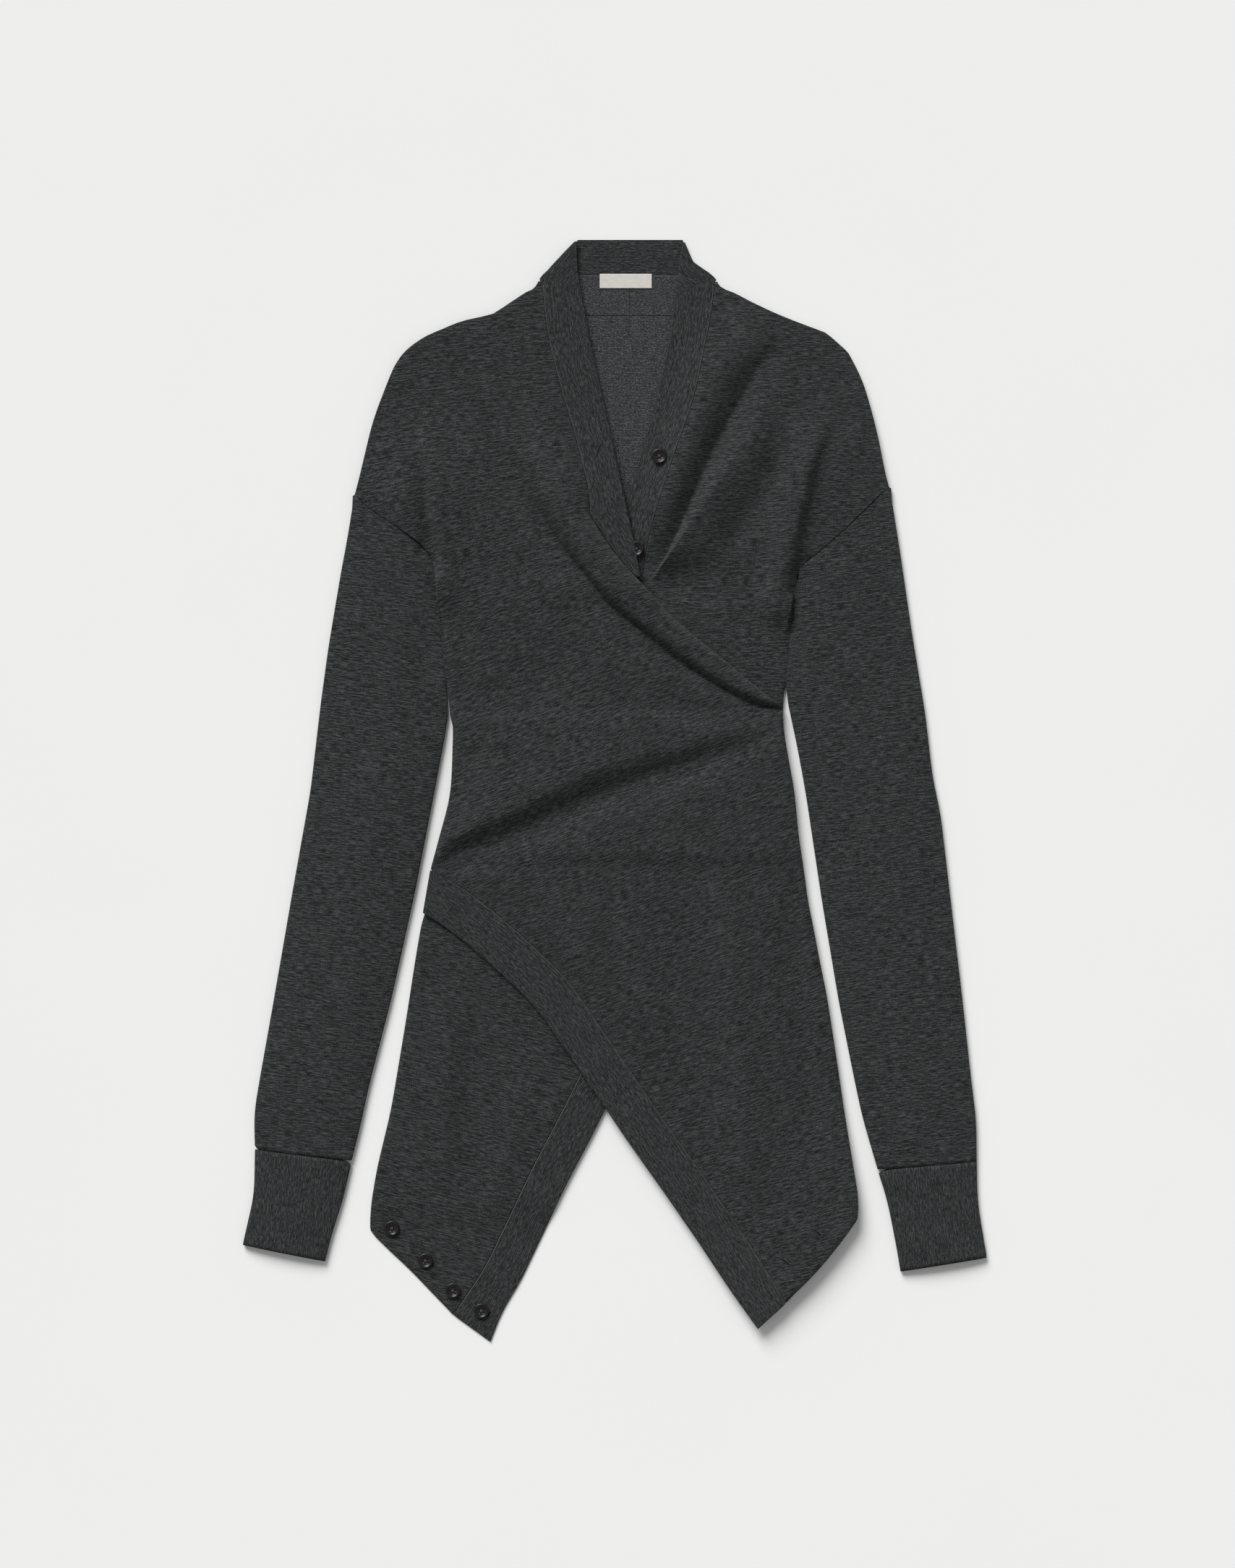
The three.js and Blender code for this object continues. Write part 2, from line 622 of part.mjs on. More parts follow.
function addYokesAndCollar() {
  const bandOuter = (band, row) => lookUp(band, 'y', Math.max(row.y, NECK_POINT_Y + 1), 'outer');
  const shoulderLeft = (row) => {
    const front = lookUp(OVERLAP_FRONT, 'y', row.y, 'left') + EDGE_SETBACK;
    return row.y > NECK_POINT_Y ? Math.max(front, bandOuter(NECK_BAND_LEFT, row) + EDGE_SETBACK) : front;
  };
  const shoulderRight = (row) => {
    const front = lookUp(UNDERLAP_FRONT, 'y', row.y, 'right') - EDGE_SETBACK;
    return row.y > NECK_POINT_Y ? Math.min(front, bandOuter(NECK_BAND_RIGHT, row) - EDGE_SETBACK) : front;
  };
  const rows = [YOKE_TOP_Y, 400, 391, 382.5, YOKE_SEAM_Y].map((y) => ({ y }));
  const left = sectionGrid(rows, shoulderLeft, () => CENTRE_BACK_X - SEAM_GAP / 2, [], [3]);
  const right = sectionGrid(rows, () => CENTRE_BACK_X + SEAM_GAP / 2, shoulderRight, [], [3]);
  addPiece('back_yoke_left', wallGeometry(left, backUnderside, WALL), INSIDE_KNIT);
  addPiece('back_yoke_right', wallGeometry(right, backUnderside, WALL), INSIDE_KNIT);

  const collar = sectionGrid(COLLAR_BACK, (row) => row.left, (row) => row.right, [], [4]);
  addPiece('collar_back', wallGeometry(collar, backUnderside, WALL), CHARCOAL_RIB);

  const label = new THREE.BoxGeometry(LABEL.width, LABEL.height, LABEL.thickness);
  const mesh = addPiece('neck_label', label, LABEL_WHITE);
  mesh.position.set(LABEL.x, LABEL.y, BACK_UNDERSIDE + WALL + BUTTON_CLEARANCE + LABEL.thickness / 2);
}

function addUnderlap() {
  const front = sectionGrid(
    UNDERLAP_FRONT,
    (row) => row.left,
    (row) => row.right,
    [PLEAT_VALLEY, PLEAT_RIDGE, RIGHT_VALLEY],
    [2, 2, 3, 2],
  );
  addPiece('underlap_front', wallGeometry(front, underlapUnderside, WALL), CHARCOAL);

  const band = neckBandGrid(NECK_BAND_RIGHT, UNDERLAP_FRONT, 'left', -SEAM_GAP);
  addPiece('neck_band_right', wallGeometry(band, underlapUnderside, WALL), CHARCOAL_RIB);

  const seam = UNDERLAP_FRONT.filter((row) => row.y <= HEM_SEAM_START_Y)
    .map((row) => new THREE.Vector2(row.right, row.y));
  const firstOuter = new THREE.Vector2(148, -96);
  const lastOuter = new THREE.Vector2(-98, -434.3);
  const hem = hemBandGrid(seam, -1, UNDERLAP_HEM_WIDTH, firstOuter, lastOuter);
  addPiece('underlap_hem_band', wallGeometry(hem, underlapUnderside, WALL), CHARCOAL_RIB);
}

function addOverlap() {
  const front = sectionGrid(
    OVERLAP_FRONT,
    (row) => row.left,
    (row) => row.right,
    [LEFT_RIDGE, ROLL_CREASE],
    [2, 6, 4],
  );
  addPiece('overlap_front', wallGeometry(front, overlapUnderside, WALL), CHARCOAL);

  const band = neckBandGrid(NECK_BAND_LEFT, OVERLAP_FRONT, 'right', SEAM_GAP);
  addPiece('neck_band_left', wallGeometry(band, overlapUnderside, WALL), CHARCOAL_RIB);

  const seam = OVERLAP_FRONT.filter((row) => row.y <= HEM_SEAM_START_Y)
    .map((row) => new THREE.Vector2(row.left, row.y));
  const firstOuter = new THREE.Vector2(-151, -96.5);
  const lastOuter = new THREE.Vector2(112.5, -423);
  const hem = hemBandGrid(seam, 1, OVERLAP_HEM_WIDTH, firstOuter, lastOuter);
  addPiece('overlap_hem_band', wallGeometry(hem, overlapUnderside, WALL), CHARCOAL_RIB);
}

function addSleeves() {
  addPiece('sleeve_left', tubeGeometry(SLEEVE_LEFT, SLEEVE_HEIGHT), CHARCOAL);
  addPiece('sleeve_right', tubeGeometry(SLEEVE_RIGHT, SLEEVE_HEIGHT), CHARCOAL);
  addPiece('cuff_left', tubeGeometry(CUFF_LEFT, CUFF_HEIGHT), CHARCOAL_RIB);
  addPiece('cuff_right', tubeGeometry(CUFF_RIGHT, CUFF_HEIGHT), CHARCOAL_RIB);
}

function addButtons() {
  for (const { name, x, y } of BUTTONS) {
    const reach = [-BUTTON_RADIUS / 2, 0, BUTTON_RADIUS / 2];
    const cloth = Math.max(...reach.flatMap((dx) => reach.map((dy) => underlapUnderside(x + dx, y + dy))));
    const mesh = addPiece(name, buttonGeometry(), HORN);
    mesh.position.set(x, y, cloth + WALL + BUTTON_CLEARANCE);
  }
}

addBack();
addYokesAndCollar();
addUnderlap();
addOverlap();
addSleeves();
addButtons();

export default cardigan;
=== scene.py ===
"""Wrap cardigan laid flat: knit shells, seams, buttons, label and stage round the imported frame.

Sizes are in millimetres unless a name says otherwise. +X is the viewer's right, +Y runs towards the
collar and +Z is up off the table. Outlines and layer heights come from the frame's solids.
"""
import math

import bmesh
import bpy
import numpy as np
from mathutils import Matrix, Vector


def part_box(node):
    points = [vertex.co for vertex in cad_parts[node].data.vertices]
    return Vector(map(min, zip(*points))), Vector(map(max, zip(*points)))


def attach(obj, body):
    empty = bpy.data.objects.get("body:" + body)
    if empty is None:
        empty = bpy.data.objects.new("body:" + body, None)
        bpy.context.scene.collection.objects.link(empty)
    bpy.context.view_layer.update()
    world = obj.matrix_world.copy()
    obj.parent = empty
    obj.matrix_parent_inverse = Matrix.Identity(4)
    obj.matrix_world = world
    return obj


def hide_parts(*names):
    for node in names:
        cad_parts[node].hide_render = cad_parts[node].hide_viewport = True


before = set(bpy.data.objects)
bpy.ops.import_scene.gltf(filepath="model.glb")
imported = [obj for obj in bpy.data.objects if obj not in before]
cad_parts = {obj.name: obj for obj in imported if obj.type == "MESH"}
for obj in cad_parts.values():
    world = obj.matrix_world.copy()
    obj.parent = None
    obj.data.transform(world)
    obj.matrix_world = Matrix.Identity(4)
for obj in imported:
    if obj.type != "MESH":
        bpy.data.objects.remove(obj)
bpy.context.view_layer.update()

bl_info = {
    "name": "Wrap cardigan laid flat",
    "version": (1, 0, 0),
    "blender": (4, 5, 0),
    "location": "3D View > Sidebar > Cardigan",
    "description": "Builds a laid-flat wrap cardigan in fine melange knit round its frame",
    "category": "Object",
}

MM = 0.001
BODY = "root"

# Layers, read from the solids: the undersides of the two fronts where they lie flat.
UNDERLAP_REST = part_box("neck_band_right")[0][2] / MM
OVERLAP_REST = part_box("overlap_front")[0][2] / MM
BACK_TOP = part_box("back")[1][2] / MM

# Cloth
WALL = 1.5
ROW_STEP = 2.4
COLUMN_STEP = 2.6
RIM_OFFSETS = (0.0, 0.2, 0.5, 0.9)
SEAM_GAP = 0.05
CORNER_TURN = math.radians(16)
EDGE_REACH = 12
NECK_POINT_Y = 401
HEM_TOP_Y = -62

# Fold paths run down the garment or outwards from the waist. Left and right are widths on each
# side of the path, seen along it. A negative height is a trough.
OVERLAP_FOLDS = (
    {"name": "waist_trough", "height": -6.0, "left": 17, "right": 8, "fade_in": 0.3, "fade_out": 0.05,
     "path": ((126, 48), (46, 18), (-13, -3), (-73, -30), (-121, -49), (-146, -61))},
    {"name": "waist_brow", "height": 3.4, "left": 7.5, "right": 26, "fade_in": 0.35, "fade_out": 0.05,
     "path": ((60, 43), (-10, 20), (-68, -8), (-120, -31), (-142, -40))},
    {"name": "waist_pull", "height": -2.2, "left": 9, "right": 12, "fade_in": 0.1, "fade_out": 0.7,
     "path": ((128, 58), (70, 58), (10, 70), (-40, 88))},
    {"name": "waist_pull_low", "height": -2.0, "left": 8, "right": 7, "fade_in": 0.1, "fade_out": 0.6,
     "path": ((126, 44), (86, 28), (40, 2), (0, -22))},
    {"name": "side_nip", "height": -3.2, "left": 5, "right": 5, "fade_in": 0.1, "fade_out": 0.5,
     "path": ((131, 64), (127, 50), (128, 32))},
    {"name": "tail_ridge", "height": 4.0, "left": 17, "right": 15, "fade_in": 0.35, "fade_out": 0.2,
     "path": ((84, -50), (94, -140), (101, -240), (106, -350))},
    {"name": "tail_hollow", "height": -3.4, "left": 18, "right": 20, "fade_in": 0.4, "fade_out": 0.3,
     "path": ((52, -60), (50, -150), (60, -230), (76, -300))},
    {"name": "tail_side_hollow", "height": -2.8, "left": 14, "right": 12, "fade_in": 0.3, "fade_out": 0.3,
     "path": ((134, -60), (142, -150), (152, -250), (158, -330))},
    {"name": "hem_swell", "height": 2.8, "left": 20, "right": 26, "fade_in": 0.4, "fade_out": 0.4,
     "path": ((-90, -80), (-30, -120), (14, -178), (44, -236))},
    {"name": "chest_swell", "height": 2.4, "left": 26, "right": 24, "fade_in": 0.4, "fade_out": 0.5,
     "path": ((-130, 300), (-112, 240), (-92, 180), (-70, 120))},
    {"name": "belly_hollow", "height": -2.2, "left": 22, "right": 20, "fade_in": 0.4, "fade_out": 0.4,
     "path": ((-20, 120), (-70, 84), (-112, 62))},
)
UNDERLAP_FOLDS = (
    {"name": "pleat_shade", "height": -3.6, "left": 12, "right": 13, "fade_in": 0.45, "fade_out": 0.3,
     "path": ((150, 330), (128, 262), (98, 206), (62, 164))},
    {"name": "waist_fan_ridge", "height": 4.2, "left": 14, "right": 16, "fade_in": 0.4, "fade_out": 0.35,
     "path": ((164, 300), (146, 226), (126, 160), (112, 108))},
    {"name": "waist_fan_hollow", "height": -2.4, "left": 10, "right": 9, "fade_in": 0.4, "fade_out": 0.2,
     "path": ((122, 214), (112, 160), (112, 112))},
    {"name": "tail_ridge", "height": 2.8, "left": 16, "right": 16, "fade_in": 0.3, "fade_out": 0.3,
     "path": ((-128, -130), (-132, -220), (-138, -330))},
    {"name": "tail_hollow", "height": -2.0, "left": 16, "right": 16, "fade_in": 0.3, "fade_out": 0.3,
     "path": ((-98, -150), (-102, -240), (-118, -340))},
    {"name": "tail_hem_ridge", "height": 1.8, "left": 12, "right": 12, "fade_in": 0.3, "fade_out": 0.3,
     "path": ((-62, -210), (-82, -280), (-102, -350))},
)
ROLL_CREASE = ((-112, 312), (-90, 268), (-68, 231), (-57, 216), (-43, 195.5), (-28, 177), (-13.5, 159), (1, 143), (23, 126),
               (45, 108), (59.5, 98), (81, 84), (103, 72), (117.5, 67), (132, 66))
PLEAT_VALLEY = ((128, 352), (110.5, 329), (90, 292.5), (70, 252.5), (46, 196.5), (25, 162))
PLEAT_RIDGE = ((148, 358), (131, 329), (112, 280), (84, 241.5), (64.5, 216), (46.5, 192), (27, 163))
LEFT_VALLEY = ((-166, 300), (-162, 278), (-151.5, 248), (-147.5, 222), (-144.5, 199.5), (-141.5, 173))
RIGHT_VALLEY = ((178.5, 300), (162.5, 261.5), (153, 224), (149, 205), (145.5, 181.5), (141, 156))
ROLL_TOP_Y = 217
ROLL_END_Y = 66

# Knit
WALE = 1.3
COURSE = 1.0
RIB_PITCH = 1.25

# How far the courses climb to the right, by height up the garment
OVERLAP_GRAIN = ((400, 0.04), (280, 0.10), (180, 0.24), (60, 0.36), (-60, 0.38), (-220, 0.30), (-420, 0.22))
UNDERLAP_GRAIN = ((400, -0.05), (250, 0.02), (120, 0.05), (-60, -0.12), (-200, -0.22), (-420, -0.24))

# Sleeve and cuff ends: heights of their two corners at the top and at the bottom
TUBES = (
    {"node": "sleeve_left", "outer_top": 231.0, "inner_top": 187.6, "outer_end": -282.4, "inner_end": -290.9,
     "crown": 3.0, "lean": 0.40},
    {"node": "cuff_left", "outer_top": -282.5, "inner_top": -291.0, "outer_end": -357.5, "inner_end": -370.4,
     "crown": 1.2, "lean": 0.5},
    {"node": "sleeve_right", "outer_top": 237.6, "inner_top": 178.4, "outer_end": -291.9, "inner_end": -297.9,
     "crown": 3.0, "lean": 0.5},
    {"node": "cuff_right", "outer_top": -292.0, "inner_top": -298.0, "outer_end": -367.5, "inner_end": -378.4,
     "crown": 1.2, "lean": 0.5},
)
SLEEVE_FOLDS = {
    "sleeve_left": (
        {"name": "upper_hollow", "height": -1.0, "left": 14, "right": 14, "fade_in": 0.3, "fade_out": 0.4,
         "path": ((-178, 190), (-184, 90), (-196, 10))},
        {"name": "elbow_ridge", "height": 0.8, "left": 12, "right": 14, "fade_in": 0.4, "fade_out": 0.4,
         "path": ((-186, 40), (-204, -80), (-222, -180))},
        {"name": "cuff_gather", "height": -0.9, "left": 7, "right": 8, "fade_in": 0.6, "fade_out": 0.1,
         "path": ((-236, -190), (-246, -250), (-248, -288))},
    ),
    "sleeve_right": (
        {"name": "upper_hollow", "height": -1.0, "left": 14, "right": 14, "fade_in": 0.3, "fade_out": 0.4,
         "path": ((186, 190), (196, 90), (206, 10))},
        {"name": "elbow_ridge", "height": 0.9, "left": 14, "right": 12, "fade_in": 0.4, "fade_out": 0.4,
         "path": ((206, 40), (220, -80), (236, -180))},
        {"name": "cuff_gather", "height": -0.9, "left": 8, "right": 7, "fade_in": 0.6, "fade_out": 0.1,
         "path": ((232, -190), (242, -250), (248, -294))},
    ),
}


# ---------------------------------------------------------------- numbers and paths

def ramp(value, start, end):
    """Smooth step from 0 at start to 1 at end, either way round."""
    share = np.clip((value - start) / (end - start), 0, 1)
    return share * share * (3 - 2 * share)


class Path:
    """A smooth plan curve through points, which measures how far other points lie from it."""

    def __init__(self, points, steps=6):
        points = np.array(points, float)
        ends = np.vstack([2 * points[0] - points[1], points, 2 * points[-1] - points[-2]])
        curve = []
        for i in range(1, len(ends) - 2):
            for t in np.arange(steps) / steps:
                before, a, b, after = ends[i - 1:i + 3]
                curve.append(0.5 * (2 * a + (b - before) * t + (2 * before - 5 * a + 4 * b - after) * t**2
                                    + (3 * a - before - 3 * b + after) * t**3))
        self.points = np.array(curve + [points[-1]])
        runs = np.linalg.norm(np.diff(self.points, axis=0), axis=1)
        self.reached = np.concatenate([[0], np.cumsum(runs)])
        self.length = self.reached[-1]

    def measure(self, x, y):
        """Signed distance, positive on the right of the path, and the length along to the nearest point."""
        best = np.full(x.shape, np.inf)
        side = np.zeros(x.shape)
        along = np.zeros(x.shape)
        for i in range(len(self.points) - 1):
            (ax, ay), (bx, by) = self.points[i], self.points[i + 1]
            run = math.hypot(bx - ax, by - ay)
            if run == 0:
                continue
            tx, ty = (bx - ax) / run, (by - ay) / run
            t = np.clip((x - ax) * tx + (y - ay) * ty, 0, run)
            gap = np.hypot(x - ax - t * tx, y - ay - t * ty)
            nearer = gap < best
            best = np.where(nearer, gap, best)
            side = np.where(nearer, np.sign((x - ax) * ty - (y - ay) * tx), side)
            along = np.where(nearer, self.reached[i] + t, along)
        return best * side, along

    def x_at(self, y):
        """Place across the garment where the path passes a height."""
        order = np.argsort(self.points[:, 1])
        return np.interp(y, self.points[order, 1], self.points[order, 0])


def fold_lift(folds, x, y):
    """Sum of the soft ridges and troughs of a list of folds."""
    lift = np.zeros(x.shape)
    for fold in folds:
        path = Path(fold["path"])
        distance, along = path.measure(x, y)
        width = np.where(distance > 0, fold["right"], fold["left"])
        share = along / path.length
        fade = ramp(share, 0, fold["fade_in"]) * ramp(share, 1, 1 - fold["fade_out"])
        lift += fold["height"] * fade * np.exp(-(distance / width) ** 2)
    return lift


def unevenness(x, y, seed):
    """Slow wander of the cloth's height, from a few crossing waves."""
    random = np.random.default_rng(seed)
    lift = np.zeros(x.shape)
    for wavelength in (150, 96, 61, 43):
        angle = random.uniform(0, math.pi)
        phase = random.uniform(0, 2 * math.pi)
        across = x * math.cos(angle) + y * math.sin(angle)
        lift += wavelength / 430 * np.sin(across * 2 * math.pi / wavelength + phase)
    return lift


# ---------------------------------------------------------------- outlines from the frame

def solid_edges(node):
    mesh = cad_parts[node].data
    points = np.array([vertex.co[:] for vertex in mesh.vertices]) / MM
    ends = np.array([edge.vertices[:] for edge in mesh.edges])
    return points[ends[:, 0]], points[ends[:, 1]]


def rounded_edge(levels, places):
    """Smooths the small bends of an outline and keeps its corners."""
    angle = np.arctan2(np.diff(places), -np.diff(levels))
    turn = np.zeros(len(places))
    turn[1:-1] = np.abs(np.diff(angle))
    corners = np.concatenate([[0], np.nonzero(turn > CORNER_TURN)[0], [len(places) - 1]])
    result = places.copy()
    for i in range(len(places)):
        window = min(EDGE_REACH, int(np.min(np.abs(corners - i))))
        result[i] = places[i - window:i + window + 1].mean()
    return result


def outline(node, step=1.0):
    """Levels down a solid and its left and right ends at each."""
    start, end = solid_edges(node)
    top = max(start[:, 1].max(), end[:, 1].max()) - 0.05
    bottom = min(start[:, 1].min(), end[:, 1].min()) + 0.05
    levels = np.linspace(top, bottom, int((top - bottom) / step) + 2)
    left, right = np.zeros(len(levels)), np.zeros(len(levels))
    for i, level in enumerate(levels):
        crossing = (start[:, 1] - level) * (end[:, 1] - level) <= 0
        crossing &= start[:, 1] != end[:, 1]
        a, b = start[crossing], end[crossing]
        x = a[:, 0] + (level - a[:, 1]) / (b[:, 1] - a[:, 1]) * (b[:, 0] - a[:, 0])
        left[i], right[i] = x.min(), x.max()
    return levels, rounded_edge(levels, left), rounded_edge(levels, right)


OUTLINES = {node: outline(node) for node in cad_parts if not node.startswith("button")}


def edge_at(node, side, y):
    levels, left, right = OUTLINES[node]
    return np.interp(y, levels[::-1], (left if side == "left" else right)[::-1])


def follow_seam(node, side, neighbour, neighbour_side, shift, lowest, highest):
    """Makes one edge of a piece run beside its neighbour's edge between two heights."""
    levels, left, right = OUTLINES[node]
    edge = left if side == "left" else right
    shared = (levels <= highest) & (levels >= lowest)
    edge[shared] = edge_at(neighbour, neighbour_side, levels[shared]) + shift


follow_seam("neck_band_left", "left", "overlap_front", "right", SEAM_GAP, ROLL_TOP_Y, NECK_POINT_Y)
follow_seam("neck_band_right", "right", "underlap_front", "left", -SEAM_GAP, 169, NECK_POINT_Y)
follow_seam("overlap_hem_band", "right", "overlap_front", "left", -SEAM_GAP, -396, HEM_TOP_Y - 1)
follow_seam("underlap_hem_band", "left", "underlap_front", "right", SEAM_GAP, -407, HEM_TOP_Y - 1)


def meet_neck_point(front, band, side, sign, reach=9):
    """Brings a shoulder line and the outer edge of its neck band together at the neck point."""
    levels, left, right = OUTLINES[front]
    edge = left if side == "left" else right
    seam = edge_at(front, "right" if side == "left" else "left", NECK_POINT_Y)
    corner = edge_at(front, side, NECK_POINT_Y) * 0.5 + (seam + sign * 1.2) * 0.5
    near = levels > NECK_POINT_Y - reach
    share = (levels[near] - NECK_POINT_Y + reach) / reach
    edge[near] += (corner - edge[near]) * share
    levels, left, right = OUTLINES[band]
    edge = left if side == "left" else right
    near = (levels > NECK_POINT_Y) & (levels < NECK_POINT_Y + reach)
    share = 1 - (levels[near] - NECK_POINT_Y) / reach
    edge[near] += (corner - edge[near]) * share ** 1.5


def point_tail(front, band, free_side, corner):
    """Carries the front down to the corner where its seam meets the tail's short end edge."""
    seam_side = "left" if free_side == "right" else "right"
    levels, left, right = OUTLINES[front]
    last = levels[-1]
    free = (left if free_side == "left" else right)[-1]
    seam = (left if seam_side == "left" else right)[-1]
    extra = np.linspace(last, corner[1], 6)[1:]
    share = (last - extra) / (last - corner[1])
    more_free = free + (corner[0] - free) * share
    more_seam = seam + (corner[0] - seam) * share
    more_left, more_right = (more_free, more_seam) if free_side == "left" else (more_seam, more_free)
    OUTLINES[front] = (np.concatenate([levels, extra]), np.concatenate([left, more_left]),
                       np.concatenate([right, more_right]))
    band_levels, band_left, band_right = OUTLINES[band]
    edge = band_left if free_side == "left" else band_right
    far = (band_right if free_side == "left" else band_left)[-1]
    down = band_levels < last
    beside = np.interp(-band_levels[down], [-last, -corner[1], -band_levels[-1]], [seam, corner[0], far])
    gap = SEAM_GAP * ramp(band_levels[down], corner[1] - 1, corner[1] + 1)
    edge[down] = beside + (gap if free_side == "left" else -gap)


def widen(node, side, amount, bottom, top, soften=10):
    """Moves part of an edge outwards, so that it lies over its neighbour with no gap."""
    levels, left, right = OUTLINES[node]
    edge = left if side == "left" else right
    edge += amount * ramp(levels, bottom, bottom + soften) * ramp(levels, top, top - soften)


def tuck_yoke(node, band, side):
    """Keeps a yoke inside the outer edge of the neck band over it."""
    levels, left, right = OUTLINES[node]
    limit = edge_at(band, side, levels)
    upper = levels > NECK_POINT_Y - 8
    if side == "left":
        left[upper] = np.maximum(left, limit + 1.5)[upper]
    else:
        right[upper] = np.minimum(right, limit - 1.5)[upper]


def close_back_seams():
    """Brings the edges of the back and its yokes together at their seams."""
    levels, left, right = OUTLINES["back"]
    levels[0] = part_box("back_yoke_left")[0][1] / MM - SEAM_GAP
    OUTLINES["back_yoke_left"][2][:] = (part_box("back_yoke_left")[1][0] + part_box("back_yoke_right")[0][0]) / 2 / MM
    OUTLINES["back_yoke_right"][1][:] = OUTLINES["back_yoke_left"][2][0] + SEAM_GAP


close_back_seams()
widen("overlap_front", "left", -1.7, 50, 182)
widen("underlap_front", "right", 1.7, 76, 172)
widen("sleeve_left", "right", 0.8, 50, 176)
widen("sleeve_right", "left", -0.8, 76, 168)
tuck_yoke("back_yoke_left", "neck_band_left", "left")
tuck_yoke("back_yoke_right", "neck_band_right", "right")
meet_neck_point("overlap_front", "neck_band_left", "left", -1)
meet_neck_point("underlap_front", "neck_band_right", "right", 1)
point_tail("underlap_front", "underlap_hem_band", "left", (-127.6, -412.8))
point_tail("overlap_front", "overlap_hem_band", "right", (134.8, -402.2))


# ---------------------------------------------------------------- heights of the two fronts

CREASE = Path(ROLL_CREASE)
VALLEY = Path(PLEAT_VALLEY)
RIDGE = Path(PLEAT_RIDGE)
LEFT_ARMPIT = Path(LEFT_VALLEY)
RIGHT_ARMPIT = Path(RIGHT_VALLEY)


def roll_edge_path():
    levels = np.linspace(ROLL_TOP_Y - 56, ROLL_END_Y, 14)
    return Path([(float(edge_at("overlap_front", "right", y)), y) for y in levels])


ROLL_EDGE = roll_edge_path()


def roll_lift(x, y, height):
    """The turned-under front edge: a full roll from the V to the waist, which starts as a soft drag above."""
    from_crease, along = CREASE.measure(x, y)
    inside = -from_crease
    edge_x = edge_at("overlap_front", "right", y)
    to_edge = np.maximum((edge_x - x) * 0.7, 0)
    share = np.clip(inside / np.maximum(inside + to_edge, 0.5), 0, 1)
    steepness = 2 + 1.2 * ramp(y, 260, 190)
    sharpness = 1.15 - 0.53 * ramp(y, 240, 168)
    fullness = np.clip(1 - np.abs(2 * share - 1) ** steepness, 0, 1) ** sharpness
    share_along = along / CREASE.length
    reach = ramp(share_along, 0.02, 0.32) * (1 - 0.5 * ramp(share_along, 0.68, 0.98))
    groove = -3.6 * ramp(share_along, 0.34, 0.54) * np.exp(-(from_crease / 2.3) ** 2)
    groove -= 3.0 * ramp(share_along, 0.02, 0.24) * ramp(share_along, 0.56, 0.36) * lopsided(from_crease, 8, 15)
    second = -0.9 * ramp(share_along, 0.5, 0.66) * np.exp(-((share - 0.62) / 0.1) ** 2)
    on_roll = (inside > 0) & (y > ROLL_END_Y - 1)
    return np.where(on_roll, (height + second) * fullness * reach, 0) + np.where(x < edge_x, groove, 0)


def turned_edge(distance, height, reach=7.0):
    """Roundness of a side edge that is turned under."""
    share = np.clip(distance / reach, 0, 1)
    return height * np.sqrt(1 - (1 - share) ** 2)


def lopsided(distance, left, right):
    """Bell curve with a different width on each side."""
    return np.exp(-(distance / np.where(distance > 0, right, left)) ** 2)


def overlap_underside(x, y, roll_height=6.5):
    neck = 3.7 * ramp(y, 300, 225) * ramp(y, 140, 165) * ramp(x, -75, -25)
    left = edge_at("overlap_front", "left", y)
    right = edge_at("overlap_front", "right", y)
    crease_x = np.where(y > ROLL_END_Y, CREASE.x_at(y), right)
    swell = 2.6 * ramp(x, left, left + 42) * ramp(x, crease_x + 4, crease_x - 38)
    swell *= ramp(y, 340, 250) * ramp(y, -340, -250)
    armpit, along = LEFT_ARMPIT.measure(x, y)
    armpit_fade = ramp(along / LEFT_ARMPIT.length, 0, 0.55)
    ridge = armpit_fade * (7.0 * lopsided(armpit + 8, 20, 6) - 1.2 * np.exp(-(armpit / 3.5) ** 2))
    shoulder = 5.2 * armpit_fade * lopsided(armpit - 13, 7.5, 28)
    side = turned_edge(x - left, 1.8) * ramp(y, 178, 150) * ramp(y, HEM_TOP_Y, HEM_TOP_Y + 14)
    side += turned_edge(right - x, 1.8) * ramp(y, ROLL_END_Y, ROLL_END_Y - 12)
    tail = 6 * ramp(y, -230, -350) * ramp(x, 60, 160)
    soft = fold_lift(OVERLAP_FOLDS, x, y) + unevenness(x, y, 3)
    calm = np.clip(np.minimum(x - left, right - x) / 16, 0, 1)
    lift = neck + swell + ridge + shoulder + side + tail + soft * calm
    height = OVERLAP_REST + np.maximum(lift, 0) + roll_lift(x, y, roll_height)
    return np.maximum(height, UNDERLAP_REST + WALL + 0.1)


def pleat_lift(x, y):
    """The neck band's crest, the deep pleat beside it and the ridge past the pleat."""
    inner = edge_at("neck_band_right", "left", y)
    valley_x = VALLEY.x_at(y)
    opening = ramp(y, 172, 240) * ramp(y, 405, 330)
    share = np.clip((x - inner) / np.maximum(valley_x - inner, 1), 0, 1)
    crest = 9.5 * opening * np.sin(math.pi * share ** 1.5) ** 1.25
    from_valley, along = VALLEY.measure(x, y)
    gap = np.abs(RIDGE.x_at(y) - valley_x) * 0.8 + 1
    past = np.maximum(-from_valley, 0)
    rise = np.where(past < gap, np.sin(0.5 * math.pi * past / gap) ** 1.3, np.exp(-((past - gap) / 34) ** 1.4))
    strength = ramp(along / VALLEY.length, 0, 0.4)
    near_v = ramp(y, 163, 192)
    return crest + 10.5 * np.where(from_valley < 0, rise, 0) * strength * near_v


